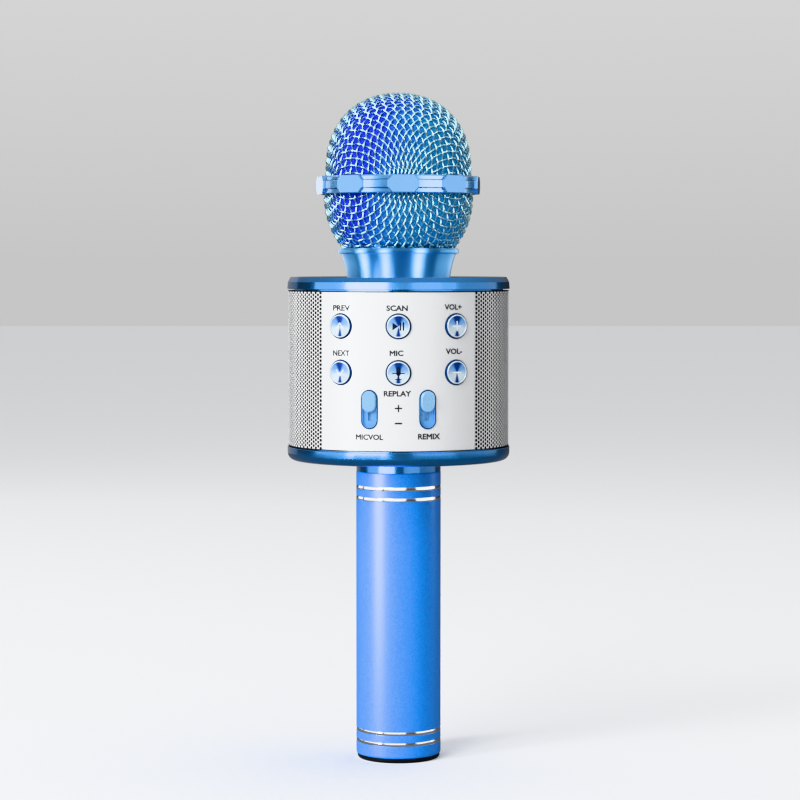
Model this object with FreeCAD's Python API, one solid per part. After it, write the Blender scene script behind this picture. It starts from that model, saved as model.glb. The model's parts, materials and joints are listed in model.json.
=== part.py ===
import FreeCAD, Part
import math
import os
from FreeCAD import Vector

# Karaoke microphone with a speaker drum, in millimetres.
# +Z runs up the axis, the key panel faces -Y, and the origin is the centre of the base.
# An azimuth is counted from the front, positive towards +X.

# ---- driving dimensions -------------------------------------------------------------------
TOTAL_H = 225.0
DRUM_R = 37.5
SKIN_R = 37.1
PANEL_T = 1.8
SHEET_T = 0.6
DRUM_Z0, DRUM_Z1 = 101.5, 163.1
SKIN_Z0, SKIN_Z1 = 106.1, 159.1
PANEL_Z0, PANEL_Z1 = 106.4, 158.65
FRONT_HALF_DEG = 42.5
REAR_HALF_DEG = 22.5
PANEL_GAP_DEG = 0.2
COVER_T = 2.1
EDGE_R = 2.6
GAP = 0.05

HANDLE_R = 14.3
HANDLE_WALL = 1.2
TUBE_Z0, TUBE_Z1 = 1.6, 97.5
BAND_Z = (6.3, 9.95, 88.65, 92.3)
BAND_W, BAND_DEPTH = 1.4, 0.12

DOME_A, DOME_C, DOME_Z, DOME_POWER = 24.6, 26.0, 199.0, 2.2
BOWL_A, BOWL_C, BOWL_Z = 25.2, 26.5, 190.0
DOME_BOTTOM, BOWL_TOP, BOWL_BOTTOM = 194.0, 193.6, 172.5
MESH_T = 0.9

RING_Z, RING_H = 193.8, 6.0
PAD_COUNT, PAD_FIRST_DEG = 9, 3.5

KEY_R, KEY_PROUD, KEY_TRAVEL = 4.05, 0.7, 0.5
KEY_SIDE_DEG = 30.5
KEY_ROWS = (147.3, 132.2)
SLIDER_DEG = 14.8
SLIDER_Z, SLIDER_W, SLIDER_H = 120.3, 5.6, 12.8
KNOB_W, KNOB_H, KNOB_TRAVEL = 4.6, 6.8, 5.2

BOARD_Y, BOARD_T = -21.0, 1.6
SWITCH_TIP_Y = -24.7
PORT_BOARD_Y = 20.4
SPEAKER_Z = 132.6
BAFFLE_X = 23.0
SPEAKER_SCREW_R = 14.6
COVER_SCREW_R = 27.0
COVER_SCREW_DEG = (45, 135, 225, 315)
TOP_SCREW_R = 22.0
TOP_SCREW_DEG = (60, 120, 240, 300)

INNER_R = SKIN_R - PANEL_T
TUBE_IN_R = HANDLE_R - HANDLE_WALL


# ---- shape helpers ------------------------------------------------------------------------
def disc(r, z0, z1):
    return Part.makeCylinder(r, z1 - z0, Vector(0, 0, z0))


def ring(r_out, r_in, z0, z1):
    return disc(r_out, z0, z1).cut(disc(r_in, z0 - 1, z1 + 1))


def block(x0, x1, y0, y1, z0, z1):
    return Part.makeBox(x1 - x0, y1 - y0, z1 - z0, Vector(x0, y0, z0))


def rod_y(r, y0, y1, x=0.0, z=0.0):
    """A cylinder along +Y."""
    return Part.makeCylinder(r, y1 - y0, Vector(x, y0, z), Vector(0, 1, 0))


def turned(start, *steps):
    """Turns a closed (radius, z) outline about Z. A step is a point, or (through, end) for an arc."""
    def at(p):
        return Vector(p[0], 0, p[1])

    edges = []
    here = start
    for step in list(steps) + [start]:
        if isinstance(step[0], tuple):
            through, end = step
            edges.append(Part.Arc(at(here), at(through), at(end)).toShape())
            here = end
        else:
            edges.append(Part.makeLine(at(here), at(step)))
            here = step
    face = Part.Face(Part.Wire(edges))
    return face.revolve(Vector(0, 0, 0), Vector(0, 0, 1), 360)


def crown(r, z, apex):
    """The arc step from (r, z) to the axis at height apex, level where it meets the axis."""
    rise = apex - z
    radius = (r * r + rise * rise) / (2 * abs(rise))
    way = math.copysign(1, rise)
    middle_z = apex - way * radius + way * math.sqrt(radius * radius - r * r / 4)
    return (r / 2, middle_z), (0, apex)


def sector(r_out, r_in, z0, z1, deg0, deg1):
    """A curved plate between two azimuths."""
    corners = [(-r_out, z0), (-r_in, z0), (-r_in, z1), (-r_out, z1), (-r_out, z0)]
    face = Part.Face(Part.makePolygon([Vector(0, y, z) for y, z in corners]))
    plate = face.revolve(Vector(0, 0, 0), Vector(0, 0, 1), deg1 - deg0)
    return facing(plate, deg0)


def facing(shape, deg):
    """Turns a shape built facing -Y to an azimuth."""
    turned_shape = shape.copy()
    turned_shape.rotate(Vector(0, 0, 0), Vector(0, 0, 1), deg)
    return turned_shape


def outward(shape, z):
    """Lays a shape turned about Z along -Y, at height z."""
    laid = shape.copy()
    laid.rotate(Vector(0, 0, 0), Vector(1, 0, 0), 90)
    laid.translate(Vector(0, 0, z))
    return laid


def sideways(shape, side):
    """Lays a shape turned about Z along +X or -X, at the speakers' height."""
    laid = shape.copy()
    laid.rotate(Vector(0, 0, 0), Vector(0, 1, 0), 90 * side)
    laid.translate(Vector(0, 0, SPEAKER_Z))
    return laid


def stadium(width, height, y0, y1, z):
    """An upright round-ended bar, built facing -Y."""
    r = width / 2
    half = height / 2 - r
    bar = block(-r, r, y0, y1, z - half, z + half)
    return bar.fuse([rod_y(r, y0, y1, 0, z - half), rod_y(r, y0, y1, 0, z + half)]).removeSplitter()


def group(solids):
    return Part.makeCompound(solids)


def wire_run(points, r):
    """A wire of straight runs joined by tangent arcs, each as large as its two runs allow."""
    pts = [Vector(*p) for p in points]
    edges = []
    here = pts[0]
    for before, corner, after in zip(pts, pts[1:], pts[2:]):
        to_before = (before - corner).normalize()
        to_after = (after - corner).normalize()
        reach = 0.45 * min((before - corner).Length, (after - corner).Length)
        start = corner + to_before * reach
        end = corner + to_after * reach
        half_turn = (math.pi - to_before.getAngle(to_after)) / 2
        radius = reach / math.tan(half_turn)
        middle_dir = (to_before + to_after).normalize()
        middle = corner + middle_dir * (radius / math.cos(half_turn) - radius)
        edges.append(Part.makeLine(here, start))
        edges.append(Part.Arc(start, middle, end).toShape())
        here = end
    edges.append(Part.makeLine(here, pts[-1]))
    path = Part.Wire(edges)
    section = Part.Wire(Part.makeCircle(r, pts[0], pts[1] - pts[0]))
    return path.makePipeShell([section], True, False)


def screw(head_r, head_h, shank_r, shank_l):
    """A pan head screw standing on its head's underside at z 0, shank down, with a cross recess."""
    head = turned((0, 0), (head_r, 0), ((head_r * 0.92, head_h * 0.7), (head_r * 0.6, head_h)), (0, head_h))
    arm = head_r * 0.6
    slot = head_r * 0.14
    cross = block(-arm, arm, -slot, slot, head_h * 0.5, head_h + 1)
    cross = cross.fuse(block(-slot, slot, -arm, arm, head_h * 0.5, head_h + 1))
    return head.fuse(disc(shank_r, -shank_l, 0)).removeSplitter().cut(cross)


def small_screw(length=3.2):
    return screw(1.75, 1.1, 0.8, length)


# ---- the microphone head ------------------------------------------------------------------
def dome_curve(inset):
    """The dome's outline from its rim to its top: a superellipse."""
    a, c = DOME_A - inset, DOME_C - inset
    points = []
    for step in range(13):
        t = math.pi / 2 * step / 12
        r = a * max(math.cos(t), 0.0) ** (2 / DOME_POWER)
        points.append(Vector(0 if step == 12 else r, 0, DOME_Z + c * math.sin(t) ** (2 / DOME_POWER)))
    curve = Part.BSplineCurve()
    curve.interpolate(Points=points, InitialTangent=Vector(0, 0, 1), FinalTangent=Vector(-1, 0, 0))
    return curve.toShape()


def bowl_radius(z, inset=0.0):
    a, c = BOWL_A - inset, BOWL_C - inset
    return a * math.sqrt(max(0.0, 1 - ((z - BOWL_Z) / c) ** 2))


def bowl_curve(z0, z1, inset, count=7):
    """The lower bowl's outline between two heights: an ellipse."""
    points = []
    for step in range(count):
        z = z0 + (z1 - z0) * step / (count - 1)
        points.append(Vector(bowl_radius(z, inset), 0, z))
    curve = Part.BSplineCurve()
    curve.interpolate(points)
    return curve.toShape()


def revolved(edges):
    face = Part.Face(Part.Wire(Part.__sortEdges__(edges)))
    return face.revolve(Vector(0, 0, 0), Vector(0, 0, 1), 360)


def upper_grille_mesh():
    a_in = DOME_A - MESH_T
    top = DOME_Z + DOME_C
    outer, inner = dome_curve(0), dome_curve(MESH_T)
    return revolved([
        outer,
        inner,
        Part.makeLine(Vector(0, 0, top), Vector(0, 0, top - MESH_T)),
        Part.makeLine(Vector(DOME_A, 0, DOME_Z), Vector(DOME_A, 0, DOME_BOTTOM)),
        Part.makeLine(Vector(DOME_A, 0, DOME_BOTTOM), Vector(a_in, 0, DOME_BOTTOM)),
        Part.makeLine(Vector(a_in, 0, DOME_BOTTOM), Vector(a_in, 0, DOME_Z)),
    ])


def lower_grille_mesh():
    outer = bowl_curve(BOWL_BOTTOM, BOWL_TOP, 0)
    inner = bowl_curve(BOWL_BOTTOM, BOWL_TOP, MESH_T)
    return revolved([
        outer,
        inner,
        Part.makeLine(
            Vector(bowl_radius(BOWL_TOP), 0, BOWL_TOP),
            Vector(bowl_radius(BOWL_TOP, MESH_T), 0, BOWL_TOP),
        ),
        Part.makeLine(
            Vector(bowl_radius(BOWL_BOTTOM), 0, BOWL_BOTTOM),
            Vector(bowl_radius(BOWL_BOTTOM, MESH_T), 0, BOWL_BOTTOM),
        ),
    ])


def pad_wire(y, inset):
    """The outline of one pad of the band: a long hexagon facing -Y."""
    tip, shoulder = 5.2 - inset, 3.7 - inset * 0.6
    low, high = 1.25 - inset * 0.6, RING_H / 2 - inset
    corners = [(-tip, -low), (-shoulder, -high), (shoulder, -high), (tip, -low)]
    corners += [(x, -z) for x, z in reversed(corners)]
    points = [Vector(x, y, RING_Z + z) for x, z in corners]
    return Part.makePolygon(points + points[:1])


def grille_band():
    """The anti-roll band: a round hoop with a bar round it and nine flat pads."""
    z0, z1 = RING_Z - RING_H / 2, RING_Z + RING_H / 2
    bore_low, bore_high, hoop_r, bar_r = 25.3, 24.65, 26.4, 26.95
    pad_face, pad_edge, pad_back = 27.15, 26.85, 25.0
    step_z = BOWL_TOP + 0.2
    hoop = turned(
        (bore_low, z0), (hoop_r - 0.35, z0), (hoop_r, z0 + 0.35), (hoop_r, z1 - 0.5),
        (hoop_r - 0.5, z1), (bore_high, z1), (bore_high, step_z), (bore_low, step_z),
    )
    bar = turned(
        (25.8, RING_Z - 1.3), (bar_r - 0.2, RING_Z - 1.3), (bar_r, RING_Z - 1.1),
        (bar_r, RING_Z + 1.1), (bar_r - 0.2, RING_Z + 1.3), (25.8, RING_Z + 1.3),
    )
    pad = Part.makeLoft([pad_wire(-pad_back, 0), pad_wire(-pad_edge, 0)], True, True)
    crown = Part.makeLoft([pad_wire(-pad_edge, 0), pad_wire(-pad_face, 0.3)], True, True)
    pad = pad.fuse(crown).removeSplitter()
    bore = disc(bore_high, z0 - 1, z1 + 1).fuse(disc(bore_low, z0 - 1, step_z))
    pads = [facing(pad, PAD_FIRST_DEG + 360 / PAD_COUNT * k) for k in range(PAD_COUNT)]
    return hoop.fuse([bar] + pads).cut(bore).removeSplitter()


def foam_windscreen():
    """A foam liner under the mesh, open at the bottom to pass over the capsule."""
    clear, wall = MESH_T + 0.25, 5.0
    z_low, z_join = 173.5, 191.5
    mouth = 13.5
    over_ring = disc(17.75, z_low - 1, 174.6)
    dome = dome_curve(clear)
    bowl = bowl_curve(z_low, z_join, clear)
    outer = revolved([
        dome,
        bowl,
        Part.makeLine(Vector(bowl_radius(z_join, clear), 0, z_join), Vector(DOME_A - clear, 0, BOWL_TOP)),
        Part.makeLine(Vector(DOME_A - clear, 0, BOWL_TOP), Vector(DOME_A - clear, 0, DOME_Z)),
        Part.makeLine(Vector(bowl_radius(z_low, clear), 0, z_low), Vector(0, 0, z_low)),
        Part.makeLine(Vector(0, 0, z_low), Vector(0, 0, DOME_Z + DOME_C - clear)),
    ])
    hollow_r = DOME_A - clear - wall
    hollow = turned(
        (0, 182.0), (mouth, 182.0), ((hollow_r - 1.5, 186.0), (hollow_r, 192.0)), (hollow_r, DOME_Z),
        crown(hollow_r, DOME_Z, DOME_Z + DOME_C - clear - wall),
    )
    return outer.cut(hollow).cut(disc(mouth, z_low - 1, 183)).cut(over_ring)


def grille_thread_ring():
    """The ring that the mesh is crimped to. Its skirt screws into the neck."""
    return turned(
        (15.0, 166.6), (17.1, 166.6), (17.4, 166.9), (17.4, 171.5), (18.9, 171.5),
        (18.9, BOWL_BOTTOM), (17.6, BOWL_BOTTOM), (17.6, 174.4), (15.0, 174.4),
    )


def neck_collar():
    """The flared neck, with a cup for the grille's thread and a spigot through the top cover."""
    return turned(
        (13.4, 156.6), (15.4, 156.6), (15.4, DRUM_Z1), (17.4, DRUM_Z1),
        ((18.0, 166.7), (18.95, 169.9)), ((19.5, 171.1), (20.3, 172.1)), (20.4, 172.3),
        (20.2, 172.7), (19.25, 172.7), (19.25, 171.4), (17.5, 171.4), (17.5, 166.0),
        (10.0, 166.0), (10.0, 164.2), (13.4, 164.2),
    ).cut(group([disc(0.85, 164, 167).translated(spot(12.4, deg, 0)) for deg in (60, 180, 300)]))


def spot(r, deg, z):
    """The point at a radius, azimuth and height."""
    a = math.radians(deg)
    return Vector(r * math.sin(a), -r * math.cos(a), z)


def capsule_post():
    post = turned(
        (3.6, 166.0), (14.8, 166.0), (14.8, 167.6), (6.5, 167.6), ((5.4, 168.2), (5.0, 169.4)),
        (5.0, 183.4), (8.0, 184.6), (8.0, 186.0), (3.6, 186.0),
    )
    return post.cut(group([disc(1.1, 165, 169).translated(spot(12.4, deg, 0)) for deg in (60, 180, 300)]))


def post_screws():
    return [small_screw().translated(spot(12.4, deg, 167.6)) for deg in (60, 180, 300)]


def capsule_mount():
    cup = turned(
        (3.6, 186.0), (8.6, 186.0), ((9.2, 186.3), (9.4, 187.0)), (9.4, 195.4), ((9.2, 196.0), (8.7, 196.2)),
        (7.5, 196.2), (7.5, 187.6), (3.6, 187.6),
    )
    return cup


def mic_capsule():
    can = turned((0, 187.65), (7.4, 187.65), (7.4, 197.0), ((7.3, 197.4), (6.9, 197.5)), (0, 197.5))
    ports = [disc(0.8, 196.6, 198)]
    ports += [disc(0.8, 196.6, 198).translated(spot(3.6, 60 * k, 0)) for k in range(6)]
    return can.cut(group(ports))


# ---- the drum -----------------------------------------------------------------------------
def top_cover():
    plate_z = DRUM_Z1 - COVER_T
    body = turned(
        (15.5, plate_z), (33.6, plate_z), (33.6, 157.7), (INNER_R - GAP, 157.7), (INNER_R - GAP, SKIN_Z1),
        (DRUM_R - 0.15, SKIN_Z1), (DRUM_R, SKIN_Z1 + 0.15), (DRUM_R - 0.2, 161.45),
        (DRUM_R - 0.3, 161.65), (DRUM_R - 1.0, DRUM_Z1 - 0.15), (DRUM_R - 1.2, DRUM_Z1), (15.5, DRUM_Z1),
    )
    for deg in TOP_SCREW_DEG:
        boss = ring(2.9, 0.85, 157.65, plate_z)
        body = body.fuse(boss.translated(spot(TOP_SCREW_R, deg, 0)))
    return body.removeSplitter()


def bottom_cover():
    plate_z = DRUM_Z0 + COVER_T
    lean = EDGE_R * math.sqrt(0.5)
    body = turned(
        (12.1, DRUM_Z0), (DRUM_R - EDGE_R, DRUM_Z0),
        ((DRUM_R - EDGE_R + lean, DRUM_Z0 + EDGE_R - lean), (DRUM_R, DRUM_Z0 + EDGE_R)),
        (DRUM_R, SKIN_Z0 - 0.15), (DRUM_R - 0.15, SKIN_Z0), (INNER_R - GAP, SKIN_Z0),
        (INNER_R - GAP, 107.5), (33.6, 107.5), (33.6, plate_z), (12.1, plate_z),
    )
    for deg in COVER_SCREW_DEG:
        body = body.cut(disc(1.45, DRUM_Z0 - 1, plate_z + 1).translated(spot(COVER_SCREW_R, deg, 0)))
        body = body.cut(disc(2.6, DRUM_Z0 - 1, DRUM_Z0 + 1.0).translated(spot(COVER_SCREW_R, deg, 0)))
        body = body.fuse(ring(3.4, 1.45, plate_z, 107.5).translated(spot(COVER_SCREW_R, deg, 0)))
    return body.removeSplitter()


def cover_screws():
    one = screw(2.4, 0.9, 1.3, 7.2)
    one.rotate(Vector(0, 0, 0), Vector(1, 0, 0), 180)
    return group([one.translated(spot(COVER_SCREW_R, deg, DRUM_Z0 + 1.0)) for deg in COVER_SCREW_DEG])


def spigot_nut(r_out, r_in, z0, z1):
    """A round nut with four spanner notches in the face away from the cover."""
    notch = block(r_out - 1.2, r_out + 1, -1.2, 1.2, z0 - 1, z1 + 1)
    return ring(r_out, r_in, z0, z1).cut(group([facing(notch, 45 + 90 * k) for k in range(4)]))


def spigot_nuts():
    """The nuts that hold the neck's and the handle collar's spigots in the covers."""
    upper = spigot_nut(18.4, 15.45, 158.6, DRUM_Z1 - COVER_T)
    lower = spigot_nut(16.4, 12.05, DRUM_Z0 + COVER_T, 106.6)
    return group([upper, lower])


def key_places():
    """(name, azimuth, height) of each key."""
    upper, lower = KEY_ROWS
    return [
        ("previous_key", -KEY_SIDE_DEG, upper),
        ("next_key", -KEY_SIDE_DEG, lower),
        ("scan_key", 0, upper),
        ("mic_key", 0, lower),
        ("volume_up_key", KEY_SIDE_DEG, upper),
        ("volume_down_key", KEY_SIDE_DEG, lower),
    ]


def front_panel():
    shell = sector(SKIN_R, INNER_R, PANEL_Z0, PANEL_Z1, -FRONT_HALF_DEG, FRONT_HALF_DEG)
    holes = [facing(rod_y(KEY_R + 0.18, -40, -30, 0, z), deg) for _, deg, z in key_places()]
    slot = stadium(SLIDER_W + 2 * GAP, SLIDER_H + 2 * GAP, -40, -30, SLIDER_Z)
    holes += [facing(slot, -SLIDER_DEG), facing(slot, SLIDER_DEG)]
    return shell.cut(group(holes))


def key(deg, z):
    """A key: a dished, chamfered cap on a stem that ends over its switch."""
    top = SKIN_R + KEY_PROUD
    cap = turned(
        (0, 33.8), (5.0, 33.8), (5.0, 34.5), (KEY_R, 34.5), (KEY_R, top - 0.45),
        (3.42, top), (3.3, top), (3.2, top - 0.12), crown(3.2, top - 0.12, top - 0.22),
    )
    stem = disc(1.5, 24.0, 34.0)
    solid = facing(outward(cap.fuse(stem).removeSplitter(), z), deg)
    stem_end = SWITCH_TIP_Y - KEY_TRAVEL - GAP
    return solid.cut(block(-30, 30, stem_end, 10, z - 10, z + 10))


def tact_switches():
    """A switch under each key's stem, with a round plunger."""
    solids = []
    for _, deg, z in key_places():
        x = -SWITCH_TIP_Y * math.tan(math.radians(deg))
        body = block(x - 3, x + 3, BOARD_Y - 2.5, BOARD_Y, z - 3, z + 3)
        plunger = rod_y(1.6, SWITCH_TIP_Y, BOARD_Y - 2.4, x, z)
        solids.append(body.fuse(plunger))
    return group(solids)


def slider_trays():
    """The plated trays that the slide knobs run in."""
    tray = stadium(SLIDER_W, SLIDER_H, -(SKIN_R + 0.12), -35.0, SLIDER_Z)
    recess = stadium(KNOB_W + 0.1, KNOB_H + KNOB_TRAVEL + 0.1, -40, -36.0, SLIDER_Z)
    slot = block(-0.75, 0.75, -40, -30, SLIDER_Z - 3.7, SLIDER_Z + 3.7)
    tray = tray.cut(recess).cut(slot)
    return group([facing(tray, -SLIDER_DEG), facing(tray, SLIDER_DEG)])


def slider_knob(deg):
    """A slide knob at the top of its travel, with a socket for its lever."""
    z = SLIDER_Z + KNOB_TRAVEL / 2
    body = stadium(KNOB_W, KNOB_H, -37.75, -36.05, z)
    crown = Part.makeLoft([knob_wire(-37.75, 0, z), knob_wire(-38.05, 0.35, z)], True, True)
    knob = body.fuse(crown).removeSplitter()
    socket = block(-0.65, 0.65, -37.2, -30, z - 1.05, z + 1.05)
    return facing(knob.cut(socket), deg)


def knob_wire(y, inset, z):
    r = KNOB_W / 2 - inset
    half = KNOB_H / 2 - KNOB_W / 2
    right, left = Vector(r, y, z), Vector(-r, y, z)
    up = Vector(0, 0, half)
    return Part.Wire([
        Part.makeLine(right - up, right + up),
        Part.Arc(right + up, Vector(0, y, z + half + r), left + up).toShape(),
        Part.makeLine(left + up, left - up),
        Part.Arc(left - up, Vector(0, y, z - half - r), right - up).toShape(),
    ])


def slider_lever(deg):
    """A slide pot's lever: a foot in the pot, a blade into the knob and a shutter behind the tray's slot."""
    z = SLIDER_Z + KNOB_TRAVEL / 2
    foot = block(-1.6, 1.6, -30.1, -28.5, z - 2, z + 2)
    blade = block(-0.6, 0.6, -37.1, -29.5, z - 1, z + 1)
    shutter = block(-1.7, 1.7, -34.75, -34.35, z - 6.4, z + 6.4)
    return facing(foot.fuse([blade, shutter]).removeSplitter(), deg)


def slide_pots():
    pot = block(-2.6, 2.6, -31.0, -27.5, SLIDER_Z - 6.6, SLIDER_Z + 6.6)
    cavity = block(-1.7, 1.7, -30.2, -28.4, SLIDER_Z - 5.6, SLIDER_Z + 5.6)
    slot = block(-0.75, 0.75, -32, -30, SLIDER_Z - 4.0, SLIDER_Z + 4.0)
    pot = pot.cut(cavity).cut(slot)
    pots = []
    for deg in (-SLIDER_DEG, SLIDER_DEG):
        legs = [block(-2.2 + 4 * i, -1.8 + 4 * i, -28, -19, z, z + 0.8) for i in (0, 1) for z in (115, 124)]
        one = facing(pot.fuse(legs), deg)
        pots.append(one.cut(block(-30, 30, BOARD_Y, 10, 100, 140)))
    return group(pots)


def main_board():
    board = block(-21.5, 21.5, BOARD_Y, BOARD_Y + BOARD_T, 110.0, 155.4)
    holes = [rod_y(1.1, -25, -15, x, z) for x in (-19.3, 19.3) for z in (112.6, 152.8)]
    return board.cut(group(holes))


def board_screws():
    one = small_screw()
    one.rotate(Vector(0, 0, 0), Vector(1, 0, 0), 90)
    return [one.translated(Vector(x, BOARD_Y, z)) for x in (-19.3, 19.3) for z in (112.6, 152.8)]


def board_components():
    """Radio module, amplifier, memory and three capacitors on the main board's two sides."""
    front, back = BOARD_Y, BOARD_Y + BOARD_T
    radio = block(-5.5, 5.5, front - 1.4, front, 136.5, 143.0)
    amplifier = block(4.5, 13.5, back, back + 1.3, 149.0, 153.5)
    memory = block(10.0, 15.0, front - 1.3, front, 113.0, 119.0)
    cans = [rod_y(2.1, front - 4.2, front, x, z) for x, z in ((-16.5, 118.0), (-16.5, 123.5), (17.0, 123.5))]
    return group([radio, amplifier, memory] + cans)


def drum_chassis():
    """The inner frame: two rings, two speaker baffles and four board posts."""
    lower, upper = ring(33.4, 16.8, 107.7, 109.5), ring(33.4, 19.0, 155.9, 157.6)
    frame = lower.fuse(upper)
    for side in (-1, 1):
        x0, x1 = sorted((side * BAFFLE_X, side * (BAFFLE_X + 2)))
        baffle = block(x0, x1, -22.4, 22.4, 109.0, 156.2)
        hole = Part.makeCylinder(16.9, 10, Vector(x0 - 4, 0, SPEAKER_Z), Vector(1, 0, 0))
        frame = frame.fuse(baffle.cut(hole))
        for z in (112.6, 152.8):
            x2, x3 = sorted((side * 17.4, side * (BAFFLE_X + 0.5)))
            post = block(x2, x3, BOARD_Y + BOARD_T, BOARD_Y + BOARD_T + 4.5, z - 2.2, z + 2.2)
            frame = frame.fuse(post.cut(rod_y(1.0, -30, 0, side * 19.3, z)))
            x4, x5 = sorted((side * 10.5, side * (BAFFLE_X + 0.5)))
            port_post = block(x4, x5, PORT_BOARD_Y - 3.4, PORT_BOARD_Y, z - 2.2, z + 2.2)
            frame = frame.fuse(port_post.cut(rod_y(1.0, 0, 30, side * 12.2, z)))
    for deg in COVER_SCREW_DEG:
        frame = frame.fuse(disc(3.2, 107.7, 109.8).translated(spot(COVER_SCREW_R, deg, 0)))
        frame = frame.cut(disc(1.35, 100, 112.8).translated(spot(COVER_SCREW_R, deg, 0)))
    for deg in TOP_SCREW_DEG:
        frame = frame.cut(disc(0.9, 155, 158).translated(spot(TOP_SCREW_R, deg, 0)))
    for z in speaker_screw_z():
        for y in (-SPEAKER_SCREW_R, SPEAKER_SCREW_R):
            frame = frame.cut(Part.makeCylinder(1.0, 60, Vector(-30, y, z), Vector(1, 0, 0)))
    return frame.removeSplitter()


def speaker_screw_z():
    return SPEAKER_Z - SPEAKER_SCREW_R, SPEAKER_Z + SPEAKER_SCREW_R


def speaker_screws():
    solids = []
    for side in (-1, 1):
        one = small_screw()
        one.rotate(Vector(0, 0, 0), Vector(0, 1, 0), 90 * side)
        for z in speaker_screw_z():
            for y in (-SPEAKER_SCREW_R, SPEAKER_SCREW_R):
                solids.append(one.translated(Vector(side * (BAFFLE_X + 3.0), y, z)))
    return solids


def top_cover_screws():
    one = small_screw(5.0)
    one.rotate(Vector(0, 0, 0), Vector(1, 0, 0), 180)
    return [one.translated(spot(TOP_SCREW_R, deg, 155.9)) for deg in TOP_SCREW_DEG]


def chassis_screws():
    """The small screws of the capsule post, the boards, the speakers and the top cover."""
    boards = board_screws() + port_board_screws()
    return group(post_screws() + boards + speaker_screws() + top_cover_screws())


def speaker_basket(side):
    """A pressed frame: a square flange and a cone down to the magnet."""
    flange_z = BAFFLE_X + 2
    cone = turned(
        (16.0, flange_z), (16.7, flange_z), (16.7, 23.0), (9.8, 16.4), (9.8, 15.6), (2.2, 15.6), (2.2, 16.4),
        (9.2, 16.4), (15.9, 23.2), (15.9, flange_z + 1), (16.0, flange_z + 1),
    )
    flange = block(-17.0, 17.0, -17.0, 17.0, flange_z, flange_z + 1).cut(disc(15.9, 0, 60))
    places = (-SPEAKER_SCREW_R, SPEAKER_SCREW_R)
    corners = [(x, y) for x in places for y in places]
    holes = group([disc(1.05, 0, 60).translated(Vector(x, y, 0)) for x, y in corners])
    return sideways(cone.fuse(flange).cut(holes).removeSplitter(), side)


def speaker_magnet(side):
    magnet = turned((0, 9.4), (10.6, 9.4), (11.0, 9.8), (11.0, 15.2), (10.6, 15.55), (0, 15.55))
    return sideways(magnet, side)


def speaker_cone(side):
    """The paper cone with its dust cap, and the rubber roll bonded round it."""
    paper = turned(
        (4.4, 17.2), (12.6, 24.4), (13.4, 24.4), (13.4, 24.9), (12.4, 24.9), (4.9, 18.4),
        crown(4.9, 18.4, 20.3), (0, 19.8), (crown(4.4, 18.0, 19.8)[0], (4.4, 18.0)),
    )
    roll = turned(
        (13.4, 24.4), (13.9, 24.4), ((14.6, 25.6), (15.3, 24.4)), (15.85, 24.4), (15.85, 24.9), (15.6, 24.9),
        ((14.6, 26.3), (13.6, 24.9)), (13.4, 24.9),
    )
    return group([sideways(paper, side), sideways(roll, side)])


def speaker_grille(side):
    low, high = FRONT_HALF_DEG + PANEL_GAP_DEG, 180 - REAR_HALF_DEG - PANEL_GAP_DEG
    deg0, deg1 = (low, high) if side > 0 else (-high, -low)
    return sector(SKIN_R, SKIN_R - SHEET_T, PANEL_Z0, PANEL_Z1, deg0, deg1)


def dust_cloth(side):
    low, high = FRONT_HALF_DEG + 1.0, 180 - REAR_HALF_DEG - 1.0
    deg0, deg1 = (low, high) if side > 0 else (-high, -low)
    back_r = SKIN_R - SHEET_T
    return sector(back_r - GAP, back_r - 0.35, PANEL_Z0 + 0.2, PANEL_Z1 - 0.2, deg0, deg1)


# ---- the rear port panel ------------------------------------------------------------------
LIGHT_Z, POWER_Z, JACK_Z, CHARGE_Z, CARD_Z, USB_Z = 152.6, 146.2, 137.6, 129.2, 121.6, 113.4
JACK_R, JACK_BORE_R, JACK_DEPTH = 3.0, 1.8, 14.0
POWER_TRAVEL = 3.0
PORT_FACE_Y = 36.6


def rear_panel():
    half = REAR_HALF_DEG
    shell = sector(SKIN_R, INNER_R, PANEL_Z0, PANEL_Z1, 180 - half, 180 + half)
    holes = [
        rod_y(1.05, 30, 40, 0, LIGHT_Z),
        block(-3.6, 3.6, 30, 40, POWER_Z - 1.5, POWER_Z + 1.5),
        rod_y(JACK_R + GAP, 30, 40, 0, JACK_Z),
        block(-3.9, 3.9, 30, 40, CHARGE_Z - 1.45, CHARGE_Z + 1.45),
        block(-6.2, 6.2, 30, 40, CARD_Z - 0.95, CARD_Z + 0.95),
        block(-6.7, 6.7, 30, 40, USB_Z - 3.0, USB_Z + 3.0),
    ]
    return shell.cut(group(holes))


def port_board():
    board = block(-14.0, 14.0, PORT_BOARD_Y, PORT_BOARD_Y + BOARD_T, 110.0, 155.4)
    holes = [rod_y(1.1, 15, 25, x, z) for x in (-12.2, 12.2) for z in (112.6, 152.8)]
    return board.cut(group(holes))


def port_board_screws():
    one = small_screw()
    one.rotate(Vector(0, 0, 0), Vector(1, 0, 0), -90)
    y = PORT_BOARD_Y + BOARD_T
    return [one.translated(Vector(x, y, z)) for x in (-12.2, 12.2) for z in (112.6, 152.8)]


def socket_shell(half_w, half_h, wall, y0, y1, z):
    """A folded metal socket: a box open at the rear face."""
    shell = block(-half_w, half_w, y0, y1, z - half_h, z + half_h)
    in_w, in_h = half_w - wall, half_h - wall
    return shell.cut(block(-in_w, in_w, y0 + wall, y1 + 1, z - in_h, z + in_h))


def usb_socket():
    return socket_shell(6.6, 2.9, 0.3, PORT_BOARD_Y + BOARD_T, PORT_FACE_Y, USB_Z)


def charging_socket():
    return socket_shell(3.8, 1.35, 0.25, 31.4, PORT_FACE_Y, CHARGE_Z)


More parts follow.
